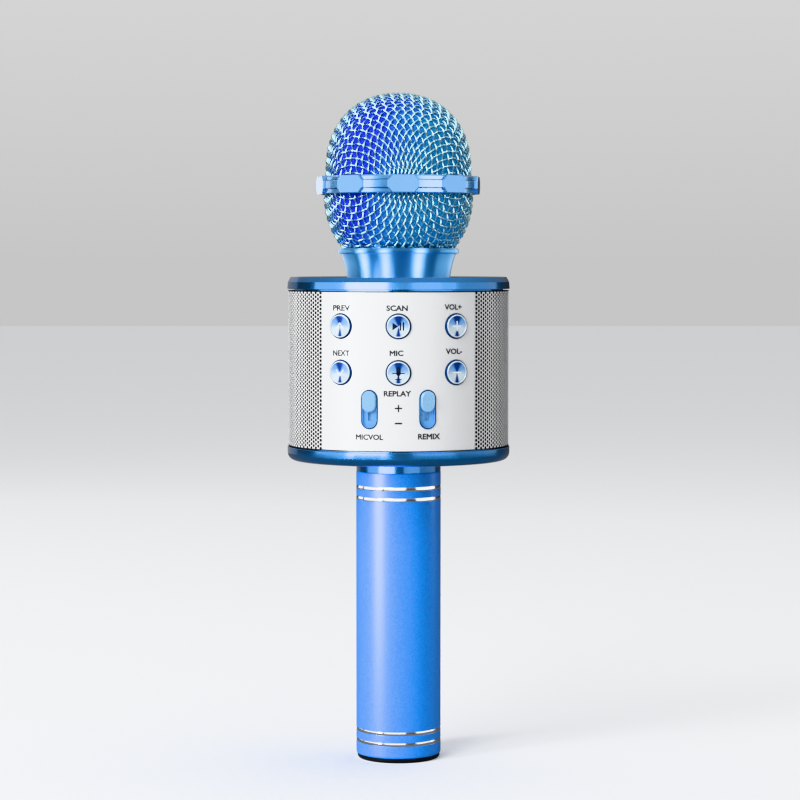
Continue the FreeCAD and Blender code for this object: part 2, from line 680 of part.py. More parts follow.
def socket_inserts():
    """The plastic insides of the two sockets: the contact tongues, and one's base."""
    usb = block(-5.6, 5.6, PORT_BOARD_Y + BOARD_T + 0.3, PORT_FACE_Y - 0.6, USB_Z + 0.5, USB_Z + 2.4)
    charge = block(-2.6, 2.6, 31.65, PORT_FACE_Y - 0.5, CHARGE_Z - 0.1, CHARGE_Z + 0.5)
    base = block(-3.6, 3.6, PORT_BOARD_Y + BOARD_T, 31.4, CHARGE_Z - 1.3, CHARGE_Z + 1.3)
    return group([usb, charge, base])


def card_slot():
    body = block(-6.1, 6.1, PORT_BOARD_Y + BOARD_T, PORT_FACE_Y, CARD_Z - 0.85, CARD_Z + 0.85)
    return body.cut(block(-5.6, 5.6, PORT_BOARD_Y + BOARD_T + 1, 40, CARD_Z - 0.4, CARD_Z + 0.4))


def audio_jack():
    base = block(-3.4, 3.4, PORT_BOARD_Y + BOARD_T, 33.6, JACK_Z - 3.2, JACK_Z + 3.2)
    barrel = rod_y(JACK_R, 33.6, PORT_FACE_Y + 0.4, 0, JACK_Z)
    end_y = PORT_FACE_Y + 0.4
    return base.fuse(barrel).cut(rod_y(JACK_BORE_R, end_y - JACK_DEPTH, end_y + 1, 0, JACK_Z))


def power_switch_body():
    y0 = PORT_BOARD_Y + BOARD_T
    body = block(-4.6, 4.6, y0, y0 + 6, POWER_Z - 2.2, POWER_Z + 2.2)
    return body.cut(block(-3.4, 3.4, y0 + 1.2, y0 + 7, POWER_Z - 1.3, POWER_Z + 1.3))


def power_switch_knob():
    """The slide switch's actuator, in its off place."""
    y0 = PORT_BOARD_Y + BOARD_T
    x = -POWER_TRAVEL / 2
    bar = block(x - 1.3, x + 1.3, y0 + 1.3, 37.9, POWER_Z - 1.2, POWER_Z + 1.2)
    grips = []
    for k in range(3):
        groove_x = x - 0.95 + 0.7 * k
        grips.append(block(groove_x, groove_x + 0.3, 37.6, 40, POWER_Z - 2, POWER_Z + 2))
    return bar.cut(group(grips))


def charge_light():
    lens = rod_y(1.0, 24.0, SKIN_R + 0.15, 0, LIGHT_Z)
    return lens.fuse(block(-1.6, 1.6, PORT_BOARD_Y + BOARD_T, 24.0, LIGHT_Z - 1.2, LIGHT_Z + 1.2))


# ---- the handle ---------------------------------------------------------------------------
def handle_collar():
    """The polished collar under the drum, with a spigot each way."""
    return turned(
        (10.4, 88.4), (12.7, 88.4), (13.0, 88.8), (13.0, TUBE_Z1), (HANDLE_R - 0.2, TUBE_Z1),
        (HANDLE_R - 0.05, TUBE_Z1 + 0.15), (HANDLE_R - 0.05, DRUM_Z0), (12.0, DRUM_Z0),
        (12.0, 107.0), (10.4, 107.0),
    )


def handle_tube():
    """The aluminium tube, with two pairs of turned bands."""
    steps = [(HANDLE_R - 0.5, TUBE_Z0), (HANDLE_R - 0.15, TUBE_Z0 + 0.15), (HANDLE_R, TUBE_Z0 + 0.5)]
    for z in BAND_Z:
        low, high = z - BAND_W / 2, z + BAND_W / 2
        floor_r = HANDLE_R - BAND_DEPTH
        steps += [(HANDLE_R, low), (floor_r, low + BAND_DEPTH)]
        steps += [(floor_r, high - BAND_DEPTH), (HANDLE_R, high)]
    steps += [(HANDLE_R, TUBE_Z1 - 0.2), (HANDLE_R - 0.2, TUBE_Z1), (TUBE_IN_R, TUBE_Z1)]
    return turned((TUBE_IN_R, TUBE_Z0), *steps)


BATTERY_Z0, BATTERY_Z1, BATTERY_R = 17.0, 82.0, 9.2


def battery_cell():
    """The cell, with the nickel strips welded to its two ends."""
    can = turned(
        (0, BATTERY_Z0), (BATTERY_R - 0.5, BATTERY_Z0),
        ((BATTERY_R - 0.15, BATTERY_Z0 + 0.15), (BATTERY_R, BATTERY_Z0 + 0.5)),
        (BATTERY_R, BATTERY_Z1 - 3.4),
        ((BATTERY_R - 0.25, BATTERY_Z1 - 3.0), (BATTERY_R, BATTERY_Z1 - 2.6)),
        (BATTERY_R, BATTERY_Z1 - 0.6), (BATTERY_R - 0.5, BATTERY_Z1),
        (3.0, BATTERY_Z1), (3.0, BATTERY_Z1 + 1.0), (0, BATTERY_Z1 + 1.0),
    )
    top_strip = block(-2.5, 2.5, -7.5, 3.0, BATTERY_Z1 + 1.0, BATTERY_Z1 + 1.25)
    bottom_strip = block(-2.5, 2.5, -7.5, 7.5, BATTERY_Z0 - 0.25, BATTERY_Z0)
    return can.fuse([top_strip, bottom_strip])


def battery_cradle():
    """An open-fronted plastic tray for the cell, with a boss for the end cap's screw."""
    tray = ring(12.6, BATTERY_R + 0.15, 12.0, 87.6)
    tray = tray.cut(block(-20, 20, -20, -3.0, 15.0, 84.6))
    floor = disc(12.6, 12.0, 15.0)
    stop = ring(12.6, 6.0, 84.6, 86.4)
    boss = disc(3.4, 7.4, 12.5)
    cradle = tray.fuse([floor, stop, boss]).cut(disc(1.15, 7, 16))
    lead_notch = block(5.0, 14, -8.0, -3.0, 84, 88)
    return cradle.cut(lead_notch).removeSplitter()


def battery_pads():
    """Foam pads between the cell and the tube."""
    pad = sector(TUBE_IN_R - 0.1, BATTERY_R + 0.1, 0, 10, -28, 28)
    return group([pad.translated(Vector(0, 0, z)) for z in (24.0, 44.0, 64.0)])


def end_cap():
    """The black plastic base, with a recess for its screw."""
    cap = turned(
        (1.35, 1.3), (2.9, 1.3), (2.9, 0.0), (13.1, 0.0), (13.6, 0.2), (13.95, 0.65), (13.95, 1.1),
        (13.7, 1.2), (13.7, TUBE_Z0),
        (TUBE_IN_R - 0.1, TUBE_Z0), (TUBE_IN_R - 0.1, 6.6), (TUBE_IN_R - 0.5, 7.0), (11.4, 7.0), (11.4, 3.2),
        (3.6, 3.2), (3.6, 7.2), (1.35, 7.2),
    )
    return cap


def end_cap_screw():
    one = screw(2.5, 1.1, 1.1, 11.0)
    one.rotate(Vector(0, 0, 0), Vector(1, 0, 0), 180)
    return one.translated(Vector(0, 0, 1.3))


# ---- the leads ----------------------------------------------------------------------------
LEAD_R = 0.6


def battery_leads():
    """The cell's two leads, up the handle to the port board."""
    positive = [
        (0.0, 1.5, 83.4), (0.0, 1.5, 89.0), (3.0, 4.0, 97.0), (3.4, 5.0, 107.0),
        (4.0, 12.0, 112.0), (4.0, 19.6, 115.5),
    ]
    negative = [
        (1.0, -6.0, 16.0), (9.3, -6.2, 16.0), (9.7, -5.6, 24.0), (9.6, -5.8, 52.0), (9.7, -5.6, 80.0),
        (6.5, -4.0, 90.0), (0.0, -3.5, 99.0), (-3.4, 0.5, 107.0), (-4.0, 9.0, 112.0), (-4.0, 19.6, 115.5),
    ]
    return [wire_run(positive, LEAD_R), wire_run(negative, LEAD_R)]


def capsule_lead():
    """The screened lead from the capsule down the post to the main board."""
    points = [
        (0.0, 0.0, 187.4), (0.0, 0.0, 166.0), (0.0, -3.0, 160.5), (0.0, -12.0, 156.0),
        (0.0, -17.0, 152.0), (0.0, -18.4, 148.0),
    ]
    return wire_run(points, 0.9)


def speaker_leads():
    """A pair of leads from each speaker to the main board."""
    solids = []
    for side in (-1, 1):
        for dz in (-1.2, 1.2):
            points = [
                (side * 19.5, -15.0, SPEAKER_Z - 6 + dz), (side * 17.2, -16.4, SPEAKER_Z - 6 + dz),
                (side * 12.0, -17.0, SPEAKER_Z - 9 + dz), (side * 9.0, -18.8, SPEAKER_Z - 12 + dz),
            ]
            solids.append(wire_run(points, 0.5))
    return solids


def hookup_wires():
    return group(battery_leads() + speaker_leads())


# ---- all of it ----------------------------------------------------------------------------
def all_parts():
    parts = {
        "upper_grille_mesh": upper_grille_mesh(),
        "lower_grille_mesh": lower_grille_mesh(),
        "grille_band": grille_band(),
        "foam_windscreen": foam_windscreen(),
        "grille_thread_ring": grille_thread_ring(),
        "neck_collar": neck_collar(),
        "capsule_post": capsule_post(),
        "capsule_mount": capsule_mount(),
        "mic_capsule": mic_capsule(),
        "capsule_lead": capsule_lead(),
        "top_cover": top_cover(),
        "bottom_cover": bottom_cover(),
        "cover_screws": cover_screws(),
        "spigot_nuts": spigot_nuts(),
        "front_panel": front_panel(),
        "tact_switches": tact_switches(),
        "slider_trays": slider_trays(),
        "mic_volume_knob": slider_knob(-SLIDER_DEG),
        "remix_knob": slider_knob(SLIDER_DEG),
        "mic_volume_lever": slider_lever(-SLIDER_DEG),
        "remix_lever": slider_lever(SLIDER_DEG),
        "slide_pots": slide_pots(),
        "main_board": main_board(),
        "board_components": board_components(),
        "drum_chassis": drum_chassis(),
        "chassis_screws": chassis_screws(),
        "hookup_wires": hookup_wires(),
        "rear_panel": rear_panel(),
        "port_board": port_board(),
        "usb_socket": usb_socket(),
        "charging_socket": charging_socket(),
        "socket_inserts": socket_inserts(),
        "card_slot": card_slot(),
        "audio_jack": audio_jack(),
        "power_switch_body": power_switch_body(),
        "power_switch_knob": power_switch_knob(),
        "charge_light": charge_light(),
        "handle_collar": handle_collar(),
        "handle_tube": handle_tube(),
        "battery_cell": battery_cell(),
        "battery_cradle": battery_cradle(),
        "battery_pads": battery_pads(),
        "end_cap": end_cap(),
        "end_cap_screw": end_cap_screw(),
    }
    for name, deg, z in key_places():
        parts[name] = key(deg, z)
    for word, side in (("left", -1), ("right", 1)):
        parts[word + "_speaker_basket"] = speaker_basket(side)
        parts[word + "_speaker_magnet"] = speaker_magnet(side)
        parts[word + "_speaker_cone"] = speaker_cone(side)
        parts[word + "_speaker_grille"] = speaker_grille(side)
        parts[word + "_dust_cloth"] = dust_cloth(side)
    return parts


def main():
    os.makedirs("parts", exist_ok=True)
    for old in os.listdir("parts"):
        os.remove(os.path.join("parts", old))
    for name, shape in all_parts().items():
        solids = shape.Solids
        volume = sum(s.Volume for s in solids)
        sound = all(s.isValid() and s.isClosed() for s in solids)
        print(f"{name:24s} solids {len(solids):3d}  volume {volume:10.2f}  sound {sound}")
        shape.exportStep(f"parts/{name}.step")


main()
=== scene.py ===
import json
import math
import random

import bpy
import bmesh
from mathutils import Matrix, Vector


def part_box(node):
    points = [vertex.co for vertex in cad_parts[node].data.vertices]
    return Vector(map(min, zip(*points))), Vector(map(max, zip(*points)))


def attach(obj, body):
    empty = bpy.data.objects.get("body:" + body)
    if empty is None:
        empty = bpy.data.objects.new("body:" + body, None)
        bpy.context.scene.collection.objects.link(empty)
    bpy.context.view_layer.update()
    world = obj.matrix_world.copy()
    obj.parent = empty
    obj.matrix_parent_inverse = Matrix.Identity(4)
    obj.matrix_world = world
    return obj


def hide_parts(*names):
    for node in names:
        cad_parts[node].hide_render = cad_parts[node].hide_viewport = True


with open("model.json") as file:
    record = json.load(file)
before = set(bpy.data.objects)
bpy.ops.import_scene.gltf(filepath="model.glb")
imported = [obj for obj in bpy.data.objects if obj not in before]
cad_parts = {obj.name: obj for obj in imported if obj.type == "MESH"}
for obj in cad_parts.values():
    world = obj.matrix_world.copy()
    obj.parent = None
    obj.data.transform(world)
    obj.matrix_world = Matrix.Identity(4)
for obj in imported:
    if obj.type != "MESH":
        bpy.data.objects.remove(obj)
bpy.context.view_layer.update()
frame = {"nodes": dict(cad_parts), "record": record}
nodes = frame["nodes"]

MM = 0.001


# ---- places and sizes ---------------------------------------------------------------------
# read from the frame
DOME_LOW, DOME_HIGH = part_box("upper_grille_mesh")
BOWL_LOW, BOWL_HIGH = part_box("lower_grille_mesh")
PANEL_LOW, PANEL_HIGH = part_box("front_panel")
DOME_R = DOME_HIGH.x
BOWL_R = BOWL_HIGH.x
DOME_TOP = DOME_HIGH.z
DRUM_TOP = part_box("top_cover")[1].z
SKIN_R = -PANEL_LOW.y
PANEL_HALF = math.asin(PANEL_HIGH.x / SKIN_R)
REAR_HALF = math.asin(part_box("rear_panel")[1].x / SKIN_R)
TUBE_LOW, TUBE_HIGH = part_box("handle_tube")
TRAY_LOW, TRAY_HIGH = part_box("slider_trays")
GRILLE_BAND_LOW, GRILLE_BAND_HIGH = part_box("grille_band")

# the design's own sizes, which no box gives
KEY_AZIMUTH = math.radians(30.5)
# where the keys' painted highlight ring starts, and where the painted shade on their edge starts
KEY_GLINT_RING_R = 3.35 * MM
KEY_SHADED_EDGE_R = 3.72 * MM
SLIDER_AZIMUTH = math.radians(14.8)
TRAY_HALF_W = 2.8 * MM
BAR_R = 26.95 * MM
BAR_EDGE = 1.4 * MM
BAND_HEIGHTS = tuple(z * MM for z in (6.3, 9.95, 88.65, 92.3))
BAND_HALF = 0.7 * MM
BAND_DEPTH = 0.12 * MM

# how many flats a turned piece has
ROUND = 256


# ---- shape helpers ------------------------------------------------------------------------
def link(obj):
    bpy.context.scene.collection.objects.link(obj)
    return obj


def mesh_object(name, verts, faces):
    mesh = bpy.data.meshes.new(name)
    mesh.from_pydata(verts, [], faces)
    mesh.update()
    mesh.shade_smooth()
    return link(bpy.data.objects.new(name, mesh))


def around(r, azimuth, z):
    """The point at a radius, azimuth (from the front, towards +X) and height."""
    return Vector((r * math.sin(azimuth), -r * math.cos(azimuth), z))


def lathe(name, profile, segments, sharp_deg, closed=False):
    """Turns a (radius, z) outline about Z. A point on the axis makes a pole."""
    verts, faces, rings = [], [], []
    for r, z in profile:
        if r < 1e-7:
            rings.append([len(verts)] * segments)
            verts.append((0, 0, z))
        else:
            rings.append(list(range(len(verts), len(verts) + segments)))
            for k in range(segments):
                a = 2 * math.pi * k / segments
                verts.append((r * math.cos(a), r * math.sin(a), z))
    if closed:
        rings.append(rings[0])
    for ring, following in zip(rings, rings[1:]):
        for k in range(segments):
            n = (k + 1) % segments
            corners = [ring[k], ring[n], following[n], following[k]]
            faces.append([c for i, c in enumerate(corners) if c not in corners[:i]])
    obj = mesh_object(name, verts, faces)
    obj.data.set_sharp_from_angle(angle=math.radians(sharp_deg))
    return obj


def add_wire(verts, faces, path, radius, sides):
    """Adds a capped wire along a list of points."""
    normal = None
    first = len(verts)
    for k, point in enumerate(path):
        ahead = path[min(k + 1, len(path) - 1)] - path[max(k - 1, 0)]
        direction = ahead.normalized()
        if normal is None:
            normal = direction.orthogonal().normalized()
        normal = (normal - direction * normal.dot(direction)).normalized()
        side = direction.cross(normal)
        for s in range(sides):
            a = 2 * math.pi * s / sides
            verts.append(point + (normal * math.cos(a) + side * math.sin(a)) * radius)
    for k in range(len(path) - 1):
        base = first + k * sides
        for s in range(sides):
            n = (s + 1) % sides
            faces.append((base + s, base + n, base + sides + n, base + sides + s))
    faces.append(tuple(range(first + sides - 1, first - 1, -1)))
    last = first + (len(path) - 1) * sides
    faces.append(tuple(range(last, last + sides)))


# ---- materials ----------------------------------------------------------------------------
class Finish:
    """A procedural material: a Principled shader and short calls for the nodes that feed it."""

    def __init__(self, name, color, roughness, metallic=0.0, **more):
        self.material = bpy.data.materials.new(name)
        self.material.use_nodes = True
        self.tree = self.material.node_tree
        self.shader = self.tree.nodes["Principled BSDF"]
        self.color = color
        self.shader.inputs["Base Color"].default_value = (*color, 1)
        self.shader.inputs["Roughness"].default_value = roughness
        self.shader.inputs["Metallic"].default_value = metallic
        for key, value in more.items():
            self.shader.inputs[key.replace("_", " ")].default_value = value

    def node(self, kind, inputs=None, **settings):
        made = self.tree.nodes.new("ShaderNode" + kind)
        for key, value in settings.items():
            setattr(made, key, value)
        for key, value in (inputs or {}).items():
            if isinstance(value, bpy.types.NodeSocket):
                self.tree.links.new(value, made.inputs[key])
            else:
                made.inputs[key].default_value = value
        return made

    def place(self, scale=(1, 1, 1)):
        """The object's own coordinates, stretched."""
        coordinates = self.node("TexCoord")
        made = self.node("Mapping", {"Vector": coordinates.outputs["Object"], "Scale": scale})
        return made.outputs[0]

    def noise(self, scale, detail=2.0, stretch=(1, 1, 1)):
        inputs = {"Vector": self.place(stretch), "Scale": scale, "Detail": detail}
        return self.node("TexNoise", inputs).outputs["Fac"]

    def math(self, operation, a, b=0.0, c=0.0):
        made = self.node("Math", operation=operation)
        for socket, value in zip(made.inputs, (a, b, c)):
            if isinstance(value, bpy.types.NodeSocket):
                self.tree.links.new(value, socket)
            else:
                socket.default_value = value
        return made.outputs[0]

    def spread(self, value, low, high, from_low=0.0, from_high=1.0):
        """Maps a value on to a range."""
        made = self.node("MapRange", {0: value, 1: from_low, 2: from_high, 3: low, 4: high})
        return made.outputs[0]

    def mix(self, factor, a, b):
        """Mixes two colours, each a triple or a socket."""
        made = self.node("Mix", data_type="RGBA")
        for index, value in ((0, factor), (6, a), (7, b)):
            if isinstance(value, bpy.types.NodeSocket):
                self.tree.links.new(value, made.inputs[index])
            elif index:
                made.inputs[index].default_value = (*value, 1)
            else:
                made.inputs[index].default_value = value
        return made.outputs[2]

    def feed(self, name, socket):
        self.tree.links.new(socket, self.shader.inputs[name])

    def vary(self, amount, scale, detail=3.0, stretch=(1, 1, 1)):
        """Varies the colour between darker and lighter by the given share."""
        darker = tuple(c * (1 - amount) for c in self.color)
        lighter = tuple(min(1, c * (1 + amount)) for c in self.color)
        self.feed("Base Color", self.mix(self.noise(scale, detail, stretch), darker, lighter))

    def rough(self, low, high, scale, detail=3.0, stretch=(1, 1, 1)):
        self.uneven(self.noise(scale, detail, stretch), low, high)

    def uneven(self, pattern, low, high):
        """Lets the middle of a pattern's range set the roughness."""
        self.feed("Roughness", self.spread(pattern, low, high, 0.3, 0.7))

    def bump(self, height, distance, strength):
        made = self.node("Bump", {"Height": height, "Distance": distance, "Strength": strength})
        self.feed("Normal", made.outputs[0])


def handle_finish():
    """Satin anodised metal with a fine sparkling grain."""
    coat = {"Coat_Weight": 1.0, "Coat_IOR": 1.6, "Coat_Roughness": 0.3}
    f = Finish("anodised_blue", (0.004, 0.2, 0.9), 0.42, 0.25, **coat)
    grain = f.noise(2500)
    speck = f.spread(grain, 0.0, 1.0, 0.32, 0.68)
    f.feed("Base Color", f.mix(speck, (0.0, 0.165, 0.66), (0.008, 0.29, 0.92)))
    f.uneven(grain, 0.36, 0.48)
    f.bump(grain, 0.00004, 0.35)
    return f.material


def gloss_blue(name, color, roughness, coat_ior, metallic=0.85):
    """Metallic blue under clear lacquer."""
    coat = {"Coat_Weight": 1.0, "Coat_IOR": coat_ior, "Coat_Roughness": roughness * 0.5}
    f = Finish(name, color, roughness, metallic, **coat)
    f.vary(0.1, 700, 2.0)
    f.rough(roughness * 0.75, roughness * 1.3, 90)
    f.bump(f.noise(2600), 0.000004, 0.1)
    return f.material


def spun_neck():
    """Dyed metal turned on a lathe: its fine rings draw each light out into an upright streak."""
    f = Finish("neck_blue", (0.1, 0.38, 0.78), 0.4, 1.0, Anisotropic=1.0, Anisotropic_Rotation=0.25)
    rings = f.noise(420, 2.0, (1, 1, 24))
    f.feed("Base Color", f.mix(rings, (0.14, 0.43, 0.78), (0.18, 0.5, 0.84)))
    f.uneven(rings, 0.36, 0.44)
    f.feed("Tangent", f.node("Tangent", direction_type="RADIAL", axis="Z").outputs[0])
    f.bump(rings, 0.000003, 0.3)
    return f.material


def plated(name, color, low, high, grain=(1, 1, 1)):
    """Plated or drawn metal, with faint grain and uneven polish."""
    f = Finish(name, color, low, 1.0)
    f.vary(0.08, 500, 2.0, grain)
    f.rough(low, high, 260, 3.0, grain)
    f.bump(f.noise(2200, 2.0, grain), 0.000008, 0.3)
    return f.material


def moulded(name, color, low, high, metallic=0.0, **more):
    """Moulded plastic or rubber with a fine spark-eroded texture."""
    f = Finish(name, color, low, metallic, **more)
    f.vary(0.12, 160, 3.0)
    f.rough(low, high, 420)
    f.bump(f.noise(4200), 0.00001, 0.4)
    return f.material


def panel_finish(name, color):
    """Pearl silver paint: fine flakes under a satin coat."""
    f = Finish(name, color, 0.34, 0.28, Coat_Weight=0.25, Coat_Roughness=0.18)
    flake = f.noise(6500, 1.0)
    dim, lit = tuple(c * 0.9 for c in color), tuple(min(1, c * 1.08) for c in color)
    f.feed("Base Color", f.mix(flake, dim, lit))
    f.uneven(flake, 0.28, 0.44)
    f.bump(flake, 0.000006, 0.3)
    return f.material


def foam_finish():
    """Open-cell foam, vivid blue on one side and sea blue on the other, with painted shade in its
    pores.
    """
    f = Finish("blue_foam", (0.01, 0.08, 0.6), 0.95)
    at = f.node("SeparateXYZ", {0: f.node("TexCoord").outputs["Object"]}).outputs
    lean = f.math("MULTIPLY_ADD", at["Z"], -0.3, 0.06)
    wander = f.math("MULTIPLY_ADD", f.noise(90, 3.0), 0.016, -0.008)
    side = f.spread(f.math("ADD", f.math("ADD", at["X"], lean), wander), 0.0, 1.0, -0.009, 0.009)
    body = f.mix(side, (0.014, 0.03, 0.6), (0.035, 0.31, 0.68))
    cells = f.node("TexVoronoi", {"Vector": f.place(), "Scale": 1500.0}, feature="DISTANCE_TO_EDGE")
    pores = f.spread(cells.outputs["Distance"], 1.0, 0.0, 0.05, 0.35)
    # painted shade: the hollows inside the cells go near black, and the struts round them keep the
    # foam's blue
    painted_pore_shade = f.math("MULTIPLY", f.math("SUBTRACT", 1.0, pores), 0.75)
    f.feed("Base Color", f.mix(painted_pore_shade, body, (0.0, 0.01, 0.1)))
    f.bump(pores, 0.0002, 0.8)
    return f.material


def cloth_finish():
    """Black acoustic cloth with a plain weave."""
    f = Finish("dust_cloth", (0.012, 0.012, 0.014), 0.9, Sheen_Weight=0.2)
    up = f.node("TexWave", {"Vector": f.place(), "Scale": 900.0}, bands_direction="Z")
    across = f.node("TexWave", {"Vector": f.place(), "Scale": 900.0}, bands_direction="X")
    threads = f.math("MULTIPLY", up.outputs["Fac"], across.outputs["Fac"])
    f.feed("Base Color", f.mix(threads, (0.006, 0.006, 0.008), (0.03, 0.03, 0.034)))
    f.bump(threads, 0.00005, 0.6)
    return f.material


def key_finish():
    """Spun metal with painted light: painted shade on its edge, a painted highlight ring, and a face
    with painted reflections, a dark wedge above and below and bright wedges at the sides.
    """
    f = Finish("spun_blue_painted_light", (0.3, 0.55, 0.92), 0.24, 0.7)
    centred = f.node("TexCoord").outputs["Object"]
    flat = f.node("VectorMath", {0: centred, 1: (1, 1, 0)}, operation="MULTIPLY").outputs[0]
    radius = f.node("VectorMath", {0: flat}, operation="LENGTH").outputs["Value"]
    direction = f.node("VectorMath", {0: flat}, operation="NORMALIZE").outputs[0]
    toward = f.node("SeparateXYZ", {0: direction}).outputs
    # upper runs from the bottom to the top of the face and shapes the painted reflection: the dark
    # wedge is wider above, and the bright wedges are paler below
    upper = f.spread(toward["Y"], 0.0, 1.0, -0.3, 0.5)
    sideways = f.math("ABSOLUTE", toward["X"])
    # painted reflection: a dark wedge above and below, between bright wedges at the sides
    painted_wedge_span = {0: sideways, 1: f.spread(upper, 0.08, 0.26), 2: f.spread(upper, 0.4, 0.8)}
    painted_fan = f.node("MapRange", painted_wedge_span, interpolation_type="SMOOTHSTEP").outputs[0]
    turning = {"W": f.math("MULTIPLY", radius, 9000.0), "Scale": 1.0, "Detail": 2.0}
    rings = f.node("TexNoise", turning, noise_dimensions="1D").outputs["Fac"]
    # painted highlight: the bright side wedges, near white towards the bottom
    painted_glint = f.mix(rings, (0.62, 0.82, 1.0), (0.9, 0.96, 1.0))
    light = f.mix(upper, painted_glint, f.mix(rings, (0.16, 0.4, 0.86), (0.3, 0.58, 0.96)))
    # painted shade: the dark wedges above and below
    painted_dark_wedge = f.mix(rings, (0.003, 0.018, 0.14), (0.01, 0.07, 0.4))
    face = f.mix(painted_fan, painted_dark_wedge, light)
    # painted highlight: a near-white ring where the bevel would catch the lamps
    ring = f.mix(f.math("GREATER_THAN", radius, KEY_GLINT_RING_R), face, (0.8, 0.92, 1.0))
    # painted shade: the key's side goes near black where it stands in its hole; the same band is also
    # less metallic and rougher
    edge = f.math("GREATER_THAN", radius, KEY_SHADED_EDGE_R)
    f.feed("Base Color", f.mix(edge, ring, (0.008, 0.035, 0.13)))
    f.feed("Metallic", f.spread(edge, 0.38, 0.0))
    f.feed("Specular IOR Level", f.spread(edge, 0.5, 0.2))
    turned = f.spread(rings, 0.3, 0.42, 0.3, 0.7)
    f.feed("Roughness", f.math("MAXIMUM", turned, f.math("MULTIPLY", edge, 0.55)))
    f.shader.inputs["Anisotropic"].default_value = 0.8
    f.shader.inputs["Anisotropic Rotation"].default_value = 0.25
    f.feed("Tangent", f.node("Tangent", direction_type="RADIAL", axis="Z").outputs[0])
    f.bump(rings, 0.000006, 0.35)
    return f.material


def ink(name, color):
    f = Finish(name, color, 0.45)
    f.vary(0.15, 2500, 2.0)
    f.rough(0.35, 0.55, 1800)
    return f.material


# ---- the woven grille ---------------------------------------------------------------------
WIRE_R = 0.3 * MM
WIRE_SIDES = 6
WIRE_CRIMP = 0.42 * MM
WIRE_PITCH = 2.4 * MM
NET_TURN = math.radians(4.0)
NET_SPARE = 14 * MM
STEPS_PER_CROSSING = 8
OUTLINE_STEPS = 900
DOME_CENTRE_Z = 199.0 * MM
DOME_POWER = 2.2
BOWL_CENTRE_Z = 190.0 * MM
BOWL_DROP = 26.5 * MM


def dome_outline(inset, low_z):
    """(radius, z) down the dome from its top: a superellipse, then straight down."""
    a, c = DOME_R - inset, DOME_TOP - inset - DOME_CENTRE_Z
    points = [(0.0, DOME_CENTRE_Z + c)]
    for step in range(1, OUTLINE_STEPS + 1):
        t = math.pi / 2 * (1 - step / OUTLINE_STEPS)
        r = a * math.cos(t) ** (2 / DOME_POWER)
        points.append((r, DOME_CENTRE_Z + c * math.sin(t) ** (2 / DOME_POWER)))
    points.append((a, low_z))
    return points


def bowl_outline(inset, high_z):
    """(radius, z) up the bowl from its virtual bottom: an ellipse, then straight up."""
    a, c = BOWL_R - inset, BOWL_DROP - inset
    points = []
    for step in range(OUTLINE_STEPS + 1):
        t = math.pi / 2 * (step / OUTLINE_STEPS)
        points.append((a * math.sin(t), BOWL_CENTRE_Z - c * math.cos(t)))
    points.append((a, high_z))
    return points


class Surface:
    """A surface of revolution laid flat: (x, y) is as far from the origin as along it from its pole.
    up is 1 if the pole is at the top, and -1 if it's below."""

    def __init__(self, outline, up):
        self.up = up
        self.s, self.r, self.z = [0.0], [outline[0][0]], [outline[0][1]]
        for (r0, z0), (r1, z1) in zip(outline, outline[1:]):
            parts = max(1, int(math.hypot(r1 - r0, z1 - z0) / (0.1 * MM)))
            for k in range(1, parts + 1):
                r, z = r0 + (r1 - r0) * k / parts, z0 + (z1 - z0) * k / parts
                self.s.append(self.s[-1] + math.hypot(r - self.r[-1], z - self.z[-1]))
                self.r.append(r)
                self.z.append(z)

    def at(self, s):
        """The radius and height at a distance from the pole."""
        low, high = 0, len(self.s) - 1
        while high - low > 1:
            middle = (low + high) // 2
            if self.s[middle] <= s:
                low = middle
            else:
                high = middle
        t = (s - self.s[low]) / (self.s[high] - self.s[low])
        r = self.r[low] + (self.r[high] - self.r[low]) * t
        return r, self.z[low] + (self.z[high] - self.z[low]) * t

    def point(self, x, y):
        s = math.hypot(x, y)
        r, z = self.at(s)
        if s < 1e-9:
            return Vector((0, 0, z))
        return Vector((x / s * r, y / s * r, z))

    def outward(self, x, y):
        step = 0.05 * MM
        along = self.point(x + step, y) - self.point(x - step, y)
        across = self.point(x, y + step) - self.point(x, y - step)
        return along.cross(across).normalized() * self.up


def woven_net(surface):
    """Knots of a cloth of square cells laid over a surface from its pole, as cells that only shear.
    Gives {(i, j): (x, y)} in plane coordinates, for the quarter where i and j aren't negative."""
    reach = surface.s[-1] - 0.2 * MM
    count = int(reach / WIRE_PITCH) + 1
    knots = {}
    for k in range(count + 1):
        knots[k, 0] = (min(k * WIRE_PITCH, reach), 0.0)
        knots[0, k] = (0.0, min(k * WIRE_PITCH, reach))
    for i in range(1, count + 1):
        for j in range(1, count + 1):
            if (i - 1, j) in knots and (i, j - 1) in knots:
                a, b, behind = knots[i - 1, j], knots[i, j - 1], knots[i - 1, j - 1]
                found = fourth_knot(surface, a, b, behind, reach)
                if found:
                    knots[i, j] = found
    return knots


def fourth_knot(surface, a, b, behind, reach):
    """The point one pitch from both a and b, on the far side from behind."""
    pa, pb = surface.point(*a), surface.point(*b)
    x, y = a[0] + b[0] - behind[0], a[1] + b[1] - behind[1]
    h = 0.01 * MM
    for _ in range(30):
        if math.hypot(x, y) > reach:
            return None
        p = surface.point(x, y)
        ea, eb = (p - pa).length - WIRE_PITCH, (p - pb).length - WIRE_PITCH
        if abs(ea) + abs(eb) < 2e-7:
            return (x, y)
        px, py = surface.point(x + h, y), surface.point(x, y + h)
        ax, ay = ((px - pa).length - WIRE_PITCH - ea) / h, ((py - pa).length - WIRE_PITCH - ea) / h
        bx, by = ((px - pb).length - WIRE_PITCH - eb) / h, ((py - pb).length - WIRE_PITCH - eb) / h
        det = ax * by - ay * bx
        if abs(det) < 1e-4:
            return None
        x -= (ea * by - eb * ay) / det
        y -= (ax * eb - bx * ea) / det
    return None


